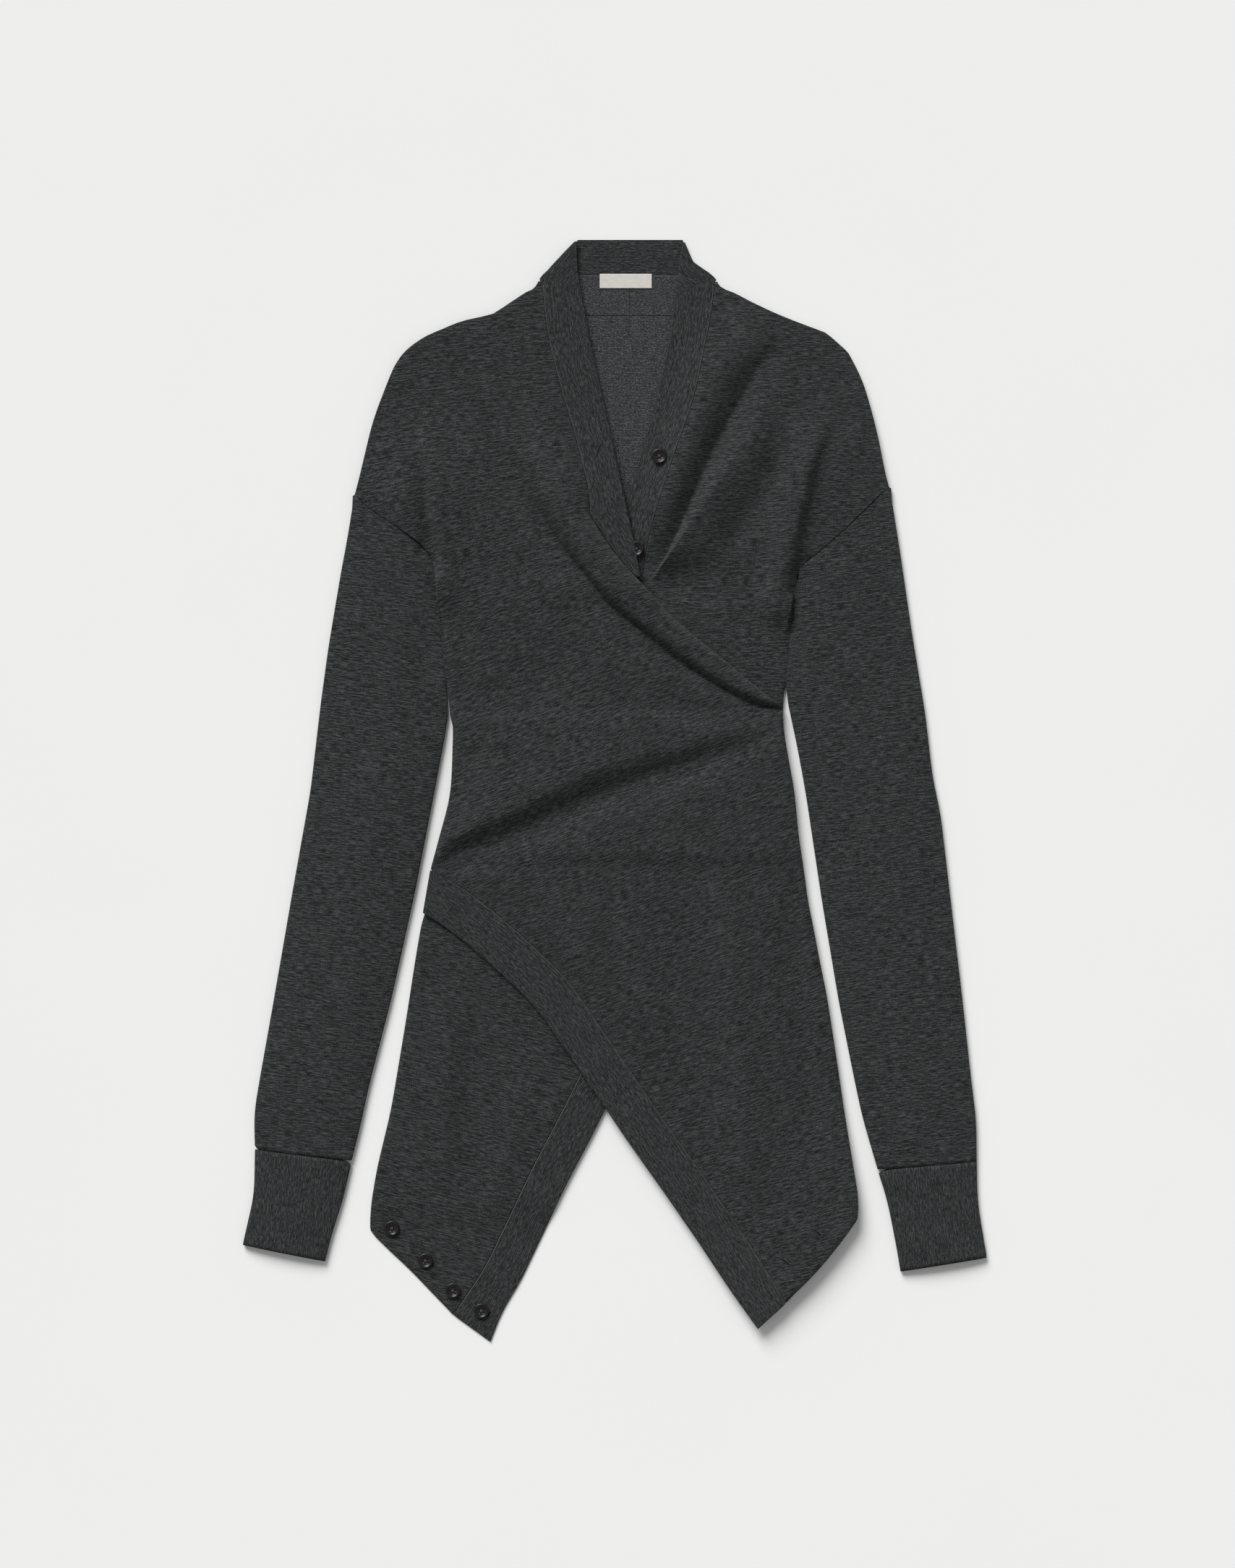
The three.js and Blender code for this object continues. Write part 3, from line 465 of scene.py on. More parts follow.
def underlap_underside(x, y):
    shown = ramp(x - edge_at("overlap_front", "right", np.minimum(y, 160)), 2, 16)
    shown = np.where(y > 163, 1.0, np.where(y > ROLL_END_Y, shown, 0))
    armpit, along = RIGHT_ARMPIT.measure(x, y)
    armpit_fade = ramp(along / RIGHT_ARMPIT.length, 0, 0.4) * (y > 60)
    ridge = armpit_fade * (7.5 * lopsided(armpit - 8, 6.5, 20) - 1.0 * np.exp(-(armpit / 3) ** 2))
    shoulder = 2.1 * ramp(x, RIGHT_ARMPIT.x_at(y), RIGHT_ARMPIT.x_at(y) + 22) * ramp(y, 165, 185)
    upper = pleat_lift(x, y) * (y > 160) + ridge + shoulder
    left = edge_at("underlap_front", "left", y)
    right = edge_at("underlap_front", "right", y)
    calm = np.clip(np.minimum(x - left, right - x) / 14, 0, 1)
    soft = (fold_lift(UNDERLAP_FOLDS, x, y) + 0.8 * unevenness(x, y, 8)) * calm
    tail = ramp(y, -110, -170) * ramp(x, -20, -60)
    side = turned_edge(x - left, 1.5) * ramp(y, -96, -120) * ramp(y, -345, -325)
    side += turned_edge(right - x, 1.8) * ramp(y, 160, 140) * ramp(y, ROLL_END_Y - 10, ROLL_END_Y + 6)
    settle = UNDERLAP_REST * ramp(y, -100, -180)
    lift = upper * shown + soft * np.maximum(shown, tail)
    return UNDERLAP_REST - settle * 0.85 + np.maximum(lift, 0) + side


def back_underside(x, y):
    return np.zeros(x.shape) + 0.02


# ---------------------------------------------------------------- meshes

def new_object(name, points, faces, grain, material):
    """Mesh object from points and faces in millimetres, with the knit's own coordinates as its UV map."""
    mesh = bpy.data.meshes.new(name)
    mesh.from_pydata((np.asarray(points) * MM).tolist(), [], faces)
    mesh.polygons.foreach_set("use_smooth", [True] * len(mesh.polygons))
    layer = mesh.uv_layers.new(name="Grain")
    corners = np.zeros(len(mesh.loops), int)
    mesh.loops.foreach_get("vertex_index", corners)
    layer.data.foreach_set("uv", (np.asarray(grain)[corners] * 0.1).ravel())
    mesh.materials.append(material)
    thing = bpy.data.objects.new(name, mesh)
    bpy.context.collection.objects.link(thing)
    return thing


def settle_piece(thing, node):
    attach(thing, BODY)
    if node:
        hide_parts(node)


def crowded(levels, start, end, count, creases):
    """Places between two ends in each row, which crowd together where a sharp crease crosses the row."""
    sample = np.linspace(0, 1, 240)
    even = np.linspace(0, 1, count)
    columns = np.zeros((len(levels), count))
    for i, level in enumerate(levels):
        x = start[i] + (end[i] - start[i]) * sample
        density = np.ones(len(sample))
        for crease, bottom, top in creases:
            strength = 3.6 * ramp(level, bottom, bottom + 45) * ramp(level, top, top - 45)
            density += strength * np.exp(-((x - crease.x_at(level)) / 8) ** 2)
        reached = np.concatenate([[0], np.cumsum((density[1:] + density[:-1]) / 2)])
        columns[i] = np.interp(even, reached / reached[-1], x)
    return columns


def grid_columns(levels, left, right, cosine_left, cosine_right, creases):
    """Places across each row: close together at the two rims and at the creases."""
    width = right - left
    count = max(4, int(width.max() / COLUMN_STEP))
    offsets = np.array(RIM_OFFSETS)
    room = (width / 6) / offsets[-1]
    scale_left = np.minimum(1 / cosine_left, room)[:, None]
    scale_right = np.minimum(1 / cosine_right, room)[:, None]
    start = left[:, None] + offsets[-1] * scale_left
    end = right[:, None] - offsets[-1] * scale_right
    middle = crowded(levels, start[:, 0], end[:, 0], count, creases)
    near = left[:, None] + offsets[None, :-1] * scale_left
    far = right[:, None] - offsets[None, -2::-1] * scale_right
    return np.concatenate([near, middle, far], axis=1)


def rim_cosine(levels, edge):
    slope = np.gradient(edge, levels)
    return np.clip(1 / np.sqrt(1 + slope**2), 0.16, 1)


def cloth_sheet(name, levels, left, right, underside, grain, material, edge_drop=0.0, wall=WALL, creases=()):
    """Closed shell between two outlines: an upper and a lower skin that meet in a rounded rim."""
    cosine_left, cosine_right = rim_cosine(levels, left), rim_cosine(levels, right)
    x = grid_columns(levels, left, right, cosine_left, cosine_right, creases)
    y = np.repeat(levels[:, None], x.shape[1], axis=1)
    low = underside(x, y)
    rim = np.minimum((x - left[:, None]) * cosine_left[:, None], (right[:, None] - x) * cosine_right[:, None])
    rim = np.minimum(rim, np.minimum(levels[0] - y, y - levels[-1]))
    half = wall / 2
    round_off = half * (1 - np.sqrt(np.clip(1 - (1 - np.clip(rim / half, 0, 1)) ** 2, 0, 1))) * 0.93
    drop = edge_drop * ramp(rim, 5, 0)
    bottom = np.maximum(low + round_off - drop, 0.02)
    top = low + wall - round_off - drop
    rows, columns = x.shape
    upper = np.stack([x, y, top], axis=-1).reshape(-1, 3)
    lower = np.stack([x, y, bottom], axis=-1).reshape(-1, 3)
    points = np.concatenate([upper, lower])
    index = np.arange(rows * columns).reshape(rows, columns)
    a, b = index[:-1, :-1].ravel(), index[:-1, 1:].ravel()
    c, d = index[1:, 1:].ravel(), index[1:, :-1].ravel()
    under = rows * columns
    faces = np.stack([a, d, c, b], axis=1).tolist()
    faces += (np.stack([a, b, c, d], axis=1) + under).tolist()
    ring = np.concatenate([index[0, :-1], index[:-1, -1], index[-1, :0:-1], index[:0:-1, 0]])
    follow = np.roll(ring, -1)
    faces += np.stack([ring, follow, follow + under, ring + under], axis=1).tolist()
    uv = np.stack(grain(points[:, 0], points[:, 1]), axis=1)
    thing = new_object(name, points, faces, uv, material)
    area = float(np.abs((right - left)[:-1] * -np.diff(levels)).sum()) * MM * MM
    return thing, area


def row_levels(top, bottom, step=ROW_STEP):
    """Heights of the rows of a sheet, close together at its two ends."""
    ends = np.array([0, 0.2, 0.5, 0.9])
    middle = np.linspace(top - 1.4, bottom + 1.4, max(3, int((top - bottom) / step)))
    return np.concatenate([top - ends, middle, bottom + ends[::-1]])


def sheet_from_node(node, underside, grain, material, edge_drop=0.0, step=ROW_STEP, creases=()):
    levels, left, right = OUTLINES[node]
    rows = row_levels(levels[0], levels[-1], step)
    x_left = np.interp(rows, levels[::-1], left[::-1])
    x_right = np.interp(rows, levels[::-1], right[::-1])
    return cloth_sheet(f"{node}_cloth", rows, x_left, x_right, underside, grain, material, edge_drop,
                       creases=creases)


def slanted_grain(table):
    """Knit coordinates whose courses climb to the right by a share that changes down the garment."""
    heights = np.array([row[0] for row in table][::-1], float)
    slopes = np.array([row[1] for row in table][::-1], float)

    def grain(x, y):
        slope = np.interp(y, heights, slopes)
        return x + y * 0.2, y - x * slope
    return grain


def band_grain(path):
    """Knit coordinates of a band: along its seam and away from it."""
    def grain(x, y):
        distance, along = path.measure(x, y)
        return along, distance
    return grain


def level_grain(x, y):
    return x, y


def tube_sheet(spec, material, grain):
    """Flattened knit tube, with an outer and an inner skin and open ends."""
    node = spec["node"]
    on_left = node.endswith("left")
    outer_side, inner_side = ("left", "right") if on_left else ("right", "left")
    length = spec["outer_top"] - spec["outer_end"]
    rows = max(8, int(length / 3.0))
    t = np.linspace(0, 1, rows)
    outer_y = spec["outer_top"] + (spec["outer_end"] - spec["outer_top"]) * t
    inner_y = spec["inner_top"] + (spec["inner_end"] - spec["inner_top"]) * t
    outer_x = edge_at(node, outer_side, outer_y)
    inner_x = edge_at(node, inner_side, inner_y)
    height = (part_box(node)[1][2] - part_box(node)[0][2]) / MM - 1
    around = 40
    turn = np.linspace(0, 2 * math.pi, around * 2, endpoint=False)
    share = 0.5 - 0.5 * np.sign(np.cos(turn)) * np.abs(np.cos(turn)) ** 0.55
    rise = 0.5 + 0.5 * np.sign(np.sin(turn)) * np.abs(np.sin(turn)) ** 0.42
    skins = []
    for inset in (0.0, 1.25):
        width = np.hypot(inner_x - outer_x, inner_y - outer_y)[:, None]
        part = inset / width + share[None, :] * (1 - 2 * inset / width)
        x = outer_x[:, None] + (inner_x - outer_x)[:, None] * part
        y = outer_y[:, None] + (inner_y - outer_y)[:, None] * part
        y = y + armhole_bow(node, x, y, t[:, None])
        top_side = np.clip(rise[None, :] * 2 - 1, 0, 1)
        fade = 1 - 0.65 * ramp(t, 0.9, 1)[:, None] if node.startswith("sleeve") else 1
        crown = fade * spec["crown"] * np.sin(math.pi * np.clip(part, 0, 1) ** (0.7 / (1.2 * spec["lean"] + 0.1)))
        soft = fold_lift(SLEEVE_FOLDS.get(node, ()), x, y) + 0.5 * unevenness(x, y, 21)
        z = inset + rise[None, :] * (height - 2 * inset) + top_side * (crown + soft)
        z = np.maximum(z, 0.02 + inset)
        skins.append(np.stack([x, y, z], axis=-1))
    return tube_object(f"{node}_cloth", skins, grain, material)


def armhole_bow(node, x, y, t):
    """Shifts the top rows of a sleeve so that they follow the armhole of the front."""
    if not node.startswith("sleeve"):
        return 0.0
    front, side = ("overlap_front", "left") if node.endswith("left") else ("underlap_front", "right")
    levels, left, right = OUTLINES[front]
    edge = left if side == "left" else right
    part = (levels < 240) & (levels > 176)
    order = np.argsort(edge[part])
    seam_y = np.interp(x, edge[part][order], levels[part][order])
    return (seam_y - 0.35 - y) * ramp(t, 0.07, 0) * (np.abs(seam_y - y) < 9)


def tube_object(name, skins, grain, material):
    rows, around = skins[0].shape[:2]
    points = np.concatenate([skin.reshape(-1, 3) for skin in skins])
    index = np.arange(rows * around).reshape(rows, around)
    following = np.roll(index, -1, axis=1)
    outer = np.stack([index[:-1], index[1:], following[1:], following[:-1]], axis=-1).reshape(-1, 4)
    inner = outer[:, ::-1] + rows * around
    first = np.stack([index[0], following[0], following[0] + rows * around, index[0] + rows * around], axis=1)
    last = np.stack([index[-1], index[-1] + rows * around, following[-1] + rows * around, following[-1]], axis=1)
    faces = np.concatenate([outer, inner, first, last]).tolist()
    uv = np.stack(grain(points[:, 0], points[:, 1]), axis=1)
    thing = new_object(name, points, faces, uv, material)
    fix_normals(thing)
    middle = np.linalg.norm(np.diff(np.concatenate([skins[0], skins[0][:, :1]], axis=1), axis=1), axis=2)
    girth = middle.sum(axis=1).mean()
    run = np.linalg.norm(skins[0][-1].mean(axis=0) - skins[0][0].mean(axis=0))
    return thing, girth, run


def fix_normals(thing):
    mesh = bmesh.new()
    mesh.from_mesh(thing.data)
    bmesh.ops.recalc_face_normals(mesh, faces=mesh.faces)
    mesh.to_mesh(thing.data)
    mesh.free()


def cord_along(name, points, radius, material, sides=8):
    """Round thread through a list of points, as a mesh with closed ends."""
    points = np.asarray(points, float)
    runs = np.gradient(points, axis=0)
    runs /= np.linalg.norm(runs, axis=1)[:, None]
    across = np.cross(runs, (0, 0, 1))
    across /= np.maximum(np.linalg.norm(across, axis=1), 1e-6)[:, None]
    upward = np.cross(across, runs)
    angles = np.linspace(0, 2 * math.pi, sides, endpoint=False)
    rings = points[:, None, :] + radius * (np.cos(angles)[None, :, None] * across[:, None, :]
                                           + np.sin(angles)[None, :, None] * upward[:, None, :])
    count = len(points)
    index = np.arange(count * sides).reshape(count, sides)
    following = np.roll(index, -1, axis=1)
    faces = np.stack([index[:-1], following[:-1], following[1:], index[1:]], axis=-1).reshape(-1, 4).tolist()
    faces += [index[0][::-1].tolist(), index[-1].tolist()]
    reached = np.concatenate([[0], np.cumsum(np.linalg.norm(np.diff(points, axis=0), axis=1))])
    uv = np.stack([np.repeat(reached, sides), np.tile(angles, count)], axis=1)
    thing = new_object(name, rings.reshape(-1, 3), faces, uv, material)
    fix_normals(thing)
    return thing


# ---------------------------------------------------------------- knit and other finishes

def shader(name, colour, roughness, specular, sheen=0.0):
    material = bpy.data.materials.new(name)
    material.use_nodes = True
    surface = material.node_tree.nodes["Principled BSDF"]
    surface.inputs["Base Color"].default_value = (*colour, 1)
    surface.inputs["Roughness"].default_value = roughness
    surface.inputs["Specular IOR Level"].default_value = specular
    surface.inputs["Sheen Weight"].default_value = sheen
    surface.inputs["Sheen Roughness"].default_value = 0.6
    return material, surface


def add_node(tree, kind, inputs=None, **settings):
    node = tree.nodes.new(kind)
    for key, value in settings.items():
        setattr(node, key, value)
    for key, value in (inputs or {}).items():
        if isinstance(value, bpy.types.NodeSocket):
            tree.links.new(value, node.inputs[key])
        else:
            node.inputs[key].default_value = value
    return node


def math_node(tree, operation, *values):
    return add_node(tree, "ShaderNodeMath", dict(enumerate(values)), operation=operation).outputs[0]


def noise(tree, vector, stretch, scale, detail=2.0):
    """Noise over the knit's coordinates, in centimetres, drawn out along the courses."""
    placed = add_node(tree, "ShaderNodeMapping", {"Vector": vector, "Scale": (1 / stretch, 1, 1)})
    inputs = {"Vector": placed.outputs[0], "Scale": scale, "Detail": detail, "Roughness": 0.6}
    return add_node(tree, "ShaderNodeTexNoise", inputs).outputs["Fac"]


def stitch_height(tree, u, v, pattern):
    """Height of the stitches: V-shaped loops for jersey, small bumps for purl, cords for rib."""
    if pattern == "rib":
        cords = math_node(tree, "SINE", math_node(tree, "MULTIPLY", v, 2 * math.pi * 10 / RIB_PITCH))
        loops = math_node(tree, "SINE", math_node(tree, "MULTIPLY", u, 2 * math.pi * 10 / COURSE))
        return math_node(tree, "MULTIPLY_ADD", loops, 0.25, cords)
    wales = math_node(tree, "FRACT", math_node(tree, "MULTIPLY", u, 10 / WALE))
    leg = math_node(tree, "ABSOLUTE", math_node(tree, "SUBTRACT", wales, 0.5))
    rise = 1.1 if pattern == "jersey" else 0.35
    climb = math_node(tree, "MULTIPLY_ADD", leg, rise, math_node(tree, "MULTIPLY", v, 10 / COURSE))
    loops = math_node(tree, "SINE", math_node(tree, "MULTIPLY", climb, 2 * math.pi))
    groove = math_node(tree, "MULTIPLY", leg, -1.2 if pattern == "jersey" else 0.4)
    return math_node(tree, "ADD", loops, groove)


# Middle of the sum of the three melange noises
MELANGE_MIDDLE = 1.08


def knit_material(name, tone, pattern, streak, contrast=1.0):
    """Melange yarn: a dark ground with paler fibres, in soft streaks along the courses."""
    material, surface = shader(name, tone, 0.95, 0.12, 0.06)
    tree = material.node_tree
    grain = add_node(tree, "ShaderNodeUVMap", uv_map="Grain").outputs[0]
    split = add_node(tree, "ShaderNodeSeparateXYZ", {"Vector": grain})
    slubs = noise(tree, grain, streak, 12.0, 1.0)
    flecks = noise(tree, grain, 1.8, 20.0, 1.0)
    threads = noise(tree, grain, streak * 3, 9.0, 1.0)
    mixed = math_node(tree, "MULTIPLY_ADD", flecks, 0.8, math_node(tree, "MULTIPLY", slubs, 0.9))
    mixed = math_node(tree, "MULTIPLY_ADD", threads, 0.46, mixed)
    spread = 0.17 / contrast
    share = add_node(tree, "ShaderNodeMapRange", {"Value": mixed, "From Min": MELANGE_MIDDLE - spread,
                                                  "From Max": MELANGE_MIDDLE + spread}).outputs[0]
    ramp_node = add_node(tree, "ShaderNodeValToRGB", {"Fac": share})
    dark = [channel * 0.3 for channel in tone]
    pale = [channel * 2.4 + 0.008 for channel in tone]
    stops = ramp_node.color_ramp.elements
    stops[0].position, stops[0].color = 0.0, (*dark, 1)
    stops[1].position, stops[1].color = 1.0, (*pale, 1)
    middle = stops.new(0.5)
    middle.color = (*tone, 1)
    tree.links.new(ramp_node.outputs["Color"], surface.inputs["Base Color"])
    height = stitch_height(tree, split.outputs["X"], split.outputs["Y"], pattern)
    height = math_node(tree, "MULTIPLY_ADD", slubs, 2.4, height)
    bump = add_node(tree, "ShaderNodeBump", {"Height": height, "Strength": 0.55, "Distance": 0.00022})
    tree.links.new(bump.outputs["Normal"], surface.inputs["Normal"])
    return material


def ribbon_material(name, tone):
    """Woven ribbon with a fine plain weave."""
    material, surface = shader(name, tone, 0.8, 0.2)
    tree = material.node_tree
    grain = add_node(tree, "ShaderNodeUVMap", uv_map="Grain").outputs[0]
    split = add_node(tree, "ShaderNodeSeparateXYZ", {"Vector": grain})
    warp = math_node(tree, "SINE", math_node(tree, "MULTIPLY", split.outputs["X"], 110))
    weft = math_node(tree, "SINE", math_node(tree, "MULTIPLY", split.outputs["Y"], 110))
    weave = math_node(tree, "MULTIPLY", warp, weft)
    mottle = noise(tree, grain, 3.0, 6.0)
    share = math_node(tree, "MULTIPLY_ADD", weave, 0.12, mottle)
    ramp_node = add_node(tree, "ShaderNodeValToRGB", {"Fac": share})
    stops = ramp_node.color_ramp.elements
    stops[0].position, stops[0].color = 0.3, (*[channel * 0.88 for channel in tone], 1)
    stops[1].position, stops[1].color = 0.7, (*tone, 1)
    tree.links.new(ramp_node.outputs["Color"], surface.inputs["Base Color"])
    bump = add_node(tree, "ShaderNodeBump", {"Height": weave, "Strength": 0.3, "Distance": 0.0001})
    tree.links.new(bump.outputs["Normal"], surface.inputs["Normal"])
    return material


def horn_material(name, tone):
    """Polished dark horn with faint brown clouds."""
    material, surface = shader(name, tone, 0.36, 0.4)
    tree = material.node_tree
    place = add_node(tree, "ShaderNodeTexCoord").outputs["Object"]
    clouds = add_node(tree, "ShaderNodeTexNoise", {"Vector": place, "Scale": 260.0, "Detail": 3.0}).outputs["Fac"]
    ramp_node = add_node(tree, "ShaderNodeValToRGB", {"Fac": clouds})
    stops = ramp_node.color_ramp.elements
    stops[0].position, stops[0].color = 0.35, (*[channel * 0.5 for channel in tone], 1)
    stops[1].position, stops[1].color = 0.75, (*[channel * 2.2 for channel in tone], 1)
    tree.links.new(ramp_node.outputs["Color"], surface.inputs["Base Color"])
    return material


def thread_material(name, tone):
    """Twisted sewing thread."""
    material, surface = shader(name, tone, 0.85, 0.2)
    tree = material.node_tree
    grain = add_node(tree, "ShaderNodeUVMap", uv_map="Grain").outputs[0]
    twist = add_node(tree, "ShaderNodeTexWave", {"Vector": grain, "Scale": 4.0, "Distortion": 1.0})
    ramp_node = add_node(tree, "ShaderNodeValToRGB", {"Fac": twist.outputs["Fac"]})
    stops = ramp_node.color_ramp.elements
    stops[0].color = (*[channel * 0.6 for channel in tone], 1)
    stops[1].color = (*[channel * 1.25 for channel in tone], 1)
    tree.links.new(ramp_node.outputs["Color"], surface.inputs["Base Color"])
    return material


def finish_named(name, make, *details):
    """A material by name, made the first time that it is asked for."""
    return bpy.data.materials.get(name) or make(name, *details)


def body_knit(context):
    return finish_named("charcoal_jersey", knit_material, context.scene.cardigan_yarn.body, "jersey", 7.0)


def rib_knit(context):
    return finish_named("charcoal_rib", knit_material, context.scene.cardigan_yarn.rib, "rib", 5.0, 0.75)


def inside_knit(context):
    return finish_named("charcoal_purl", knit_material, context.scene.cardigan_yarn.inside, "purl", 2.0, 0.8)


# ---------------------------------------------------------------- settings

def colour_setting(name, description, default):
    return bpy.props.FloatVectorProperty(name=name, description=description, subtype="COLOR", size=3,
                                         min=0.0, max=1.0, default=default)


def size_setting(name, description, default):
    return bpy.props.FloatProperty(name=name, description=description, default=default, unit="LENGTH",
                                   subtype="DISTANCE", min=0.0)


class CardiganYarn(bpy.types.PropertyGroup):
    """Colours of the yarns and trimmings."""
    body: colour_setting("Body yarn", "Melange yarn of the fronts and sleeves", (0.0245, 0.0256, 0.0262))
    rib: colour_setting("Rib yarn", "Melange yarn of the bands, cuffs and collar", (0.0245, 0.0256, 0.0262))
    inside: colour_setting("Inside yarn", "Purl side seen in the neck", (0.039, 0.0405, 0.043))
    label: colour_setting("Label", "Blank woven neck label", (0.66, 0.64, 0.595))
    horn: colour_setting("Buttons", "Dark horn of the buttons", (0.006, 0.005, 0.0045))
    thread: colour_setting("Thread", "Thread of the buttons and seams", (0.10, 0.10, 0.105))


class CardiganSizes(bpy.types.PropertyGroup):
    """Sizes of the cloth that a maker may change."""
    wall: size_setting("Cloth", "Thickness of the knit", WALL * MM)
    roll: size_setting("Roll", "Height of the soft roll along the turned front edge", 0.0094)
    label_cloth: size_setting("Label cloth", "Thickness of the neck label", 0.0005)


class CardiganStage(bpy.types.PropertyGroup):
    """Table, lights and camera."""
    floor_width: size_setting("Table", "Width of the pale table", 8.0)
    key_strength: bpy.props.FloatProperty(name="Key light", description="Strength of the large soft light",
                                          default=3.75, min=0.0)
    key_height: bpy.props.FloatProperty(name="Key height", description="Angle of the key light over the table",
                                        default=math.radians(33), subtype="ANGLE", unit="ROTATION")
    fill: bpy.props.FloatProperty(name="Fill", description="Strength of the even light all round",
                                  default=0.34, min=0.0)
    camera_height: size_setting("Camera height", "Height of the camera over the table", 2.6)


# ---------------------------------------------------------------- pieces


class CARDIGAN_OT_back(bpy.types.Operator):
    """Back panel, its two yokes, the hem band and the collar behind the neck"""
    bl_idname = "cardigan.back"
    bl_label = "Back and collar"

    def execute(self, context):
        purl = inside_knit(context)
        rib = rib_knit(context)
        back, area = sheet_from_node("back", back_underside, level_grain, purl, step=3.4)
        settle_piece(back, "back")
        for side in ("left", "right"):
            node = f"back_yoke_{side}"
            yoke, area = sheet_from_node(node, back_underside, yoke_grain, purl, step=1.6)
            settle_piece(yoke, node)
        band, area = sheet_from_node("back_hem_band", back_underside, level_grain, rib, step=3.4)
        settle_piece(band, "back_hem_band")
        collar, area = sheet_from_node("collar_back", back_underside, level_grain, rib, step=1.6)
        settle_piece(collar, "collar_back")
        return {"FINISHED"}


def yoke_grain(x, y):
    """Purl courses of the yokes, which climb towards the shoulders."""
    slope = 0.45 * np.sign(x - 12)
    return x + slope * y, y - slope * (x - 12)


class CARDIGAN_OT_label(bpy.types.Operator):
    """Blank woven label sewn over the neck seam"""
    bl_idname = "cardigan.label"
    bl_label = "Neck label"

    def execute(self, context):
        weave = finish_named("label_ribbon", ribbon_material, context.scene.cardigan_yarn.label)
        thickness = context.scene.cardigan_sizes.label_cloth / MM
        levels, left, right = OUTLINES["neck_label"]
        rows = row_levels(levels[0], levels[-1], 0.8)
        x_left = np.full(len(rows), left.min())
        x_right = np.full(len(rows), right.max())

        def underside(x, y):
            return BACK_TOP + 0.25 + 0.18 * np.sin((x + 3) / 9) ** 2
        label, area = cloth_sheet("neck_label_cloth", rows, x_left, x_right, underside, level_grain, weave,
                                  wall=thickness)
        settle_piece(label, "neck_label")
        return {"FINISHED"}


def seam_path(node, side, top, bottom, step=6, beyond=60):
    """Path along a seam, carried straight on past its lower end so that ribs there stay straight."""
    levels = np.arange(top, bottom, -step)
    points = [(float(edge_at(node, side, y)), float(y)) for y in levels]
    (ax, ay), (bx, by) = points[-4], points[-1]
    run = math.hypot(bx - ax, by - ay)
    end = (bx + (bx - ax) / run * beyond, by + (by - ay) / run * beyond)
    seam = Path(points, steps=2)
    return Path([*points, end], steps=2), seam.length


class CARDIGAN_OT_underlap(bpy.types.Operator):
    """Front that lies underneath, with its neck band and hem band"""
    bl_idname = "cardigan.underlap"
    bl_label = "Underlap"

    def execute(self, context):
        grain = slanted_grain(UNDERLAP_GRAIN)
        creases = ((VALLEY, 120, 345), (RIDGE, 120, 330), (RIGHT_ARMPIT, 110, 290))
        front, area = sheet_from_node("underlap_front", underlap_underside, grain, body_knit(context), 0.1,
                                      creases=creases)
        settle_piece(front, "underlap_front")
        seam, length = seam_path("neck_band_right", "right", 428, 172)
        band, area = sheet_from_node("neck_band_right", underlap_underside, band_grain(seam), rib_knit(context),
                                     0.1, step=2.0)
        settle_piece(band, "neck_band_right")
        seam, length = seam_path("underlap_hem_band", "left", HEM_TOP_Y - 4, -404)
        hem, area = sheet_from_node("underlap_hem_band", underlap_underside, band_grain(seam), rib_knit(context),
                                    0.1, step=2.0)
        settle_piece(hem, "underlap_hem_band")
        return {"FINISHED"}


class CARDIGAN_OT_overlap(bpy.types.Operator):
    """Front that lies on top, with its neck band and hem band"""
    bl_idname = "cardigan.overlap"
    bl_label = "Overlap"

    def execute(self, context):
        roll_height = context.scene.cardigan_sizes.roll / MM

        def underside(x, y):
            return overlap_underside(x, y, roll_height)
        grain = slanted_grain(OVERLAP_GRAIN)
        creases = ((CREASE, 20, 270), (LEFT_ARMPIT, 120, 300))
        front, area = sheet_from_node("overlap_front", underside, grain, body_knit(context), 0.2,
                                      creases=creases)
        settle_piece(front, "overlap_front")
        seam, length = seam_path("neck_band_left", "left", 428, 180)
        band, area = sheet_from_node("neck_band_left", underside, band_grain(seam), rib_knit(context), 0.2,
                                     step=2.0)
        settle_piece(band, "neck_band_left")
        seam, length = seam_path("overlap_hem_band", "right", HEM_TOP_Y - 4, -394)
        hem, area = sheet_from_node("overlap_hem_band", underside, band_grain(seam), rib_knit(context), 0.2,
                                    step=2.0)
        settle_piece(hem, "overlap_hem_band")
        return {"FINISHED"}


class CARDIGAN_OT_sleeves(bpy.types.Operator):
    """Sleeves and cuffs, as flattened tubes with open cuffs"""
    bl_idname = "cardigan.sleeves"
    bl_label = "Sleeves and cuffs"

    def execute(self, context):
        for spec in TUBES:
            node = spec["node"]
            sign = -1 if node.endswith("left") else 1
            cuff = node.startswith("cuff")

            def grain(x, y, sign=sign, cuff=cuff):
                along = sign * x * 0.12 - y
                across = x + sign * 0.12 * y
                return (along, across) if cuff else (across, along)
            material = rib_knit(context) if cuff else body_knit(context)
            tube, girth, run = tube_sheet(spec, material, grain)
            settle_piece(tube, node)
        return {"FINISHED"}


BUTTON_PROFILE = ((0, 0), (3.6, 0), (5.2, 0.35), (5.85, 0.9), (6.0, 1.4), (5.85, 1.95), (5.4, 2.3), (4.9, 2.4),
                  (4.5, 2.25), (4.1, 1.8), (3.4, 1.55), (0, 1.45))
HOLE_OFFSET = 1.15
HOLE_RADIUS = 0.62


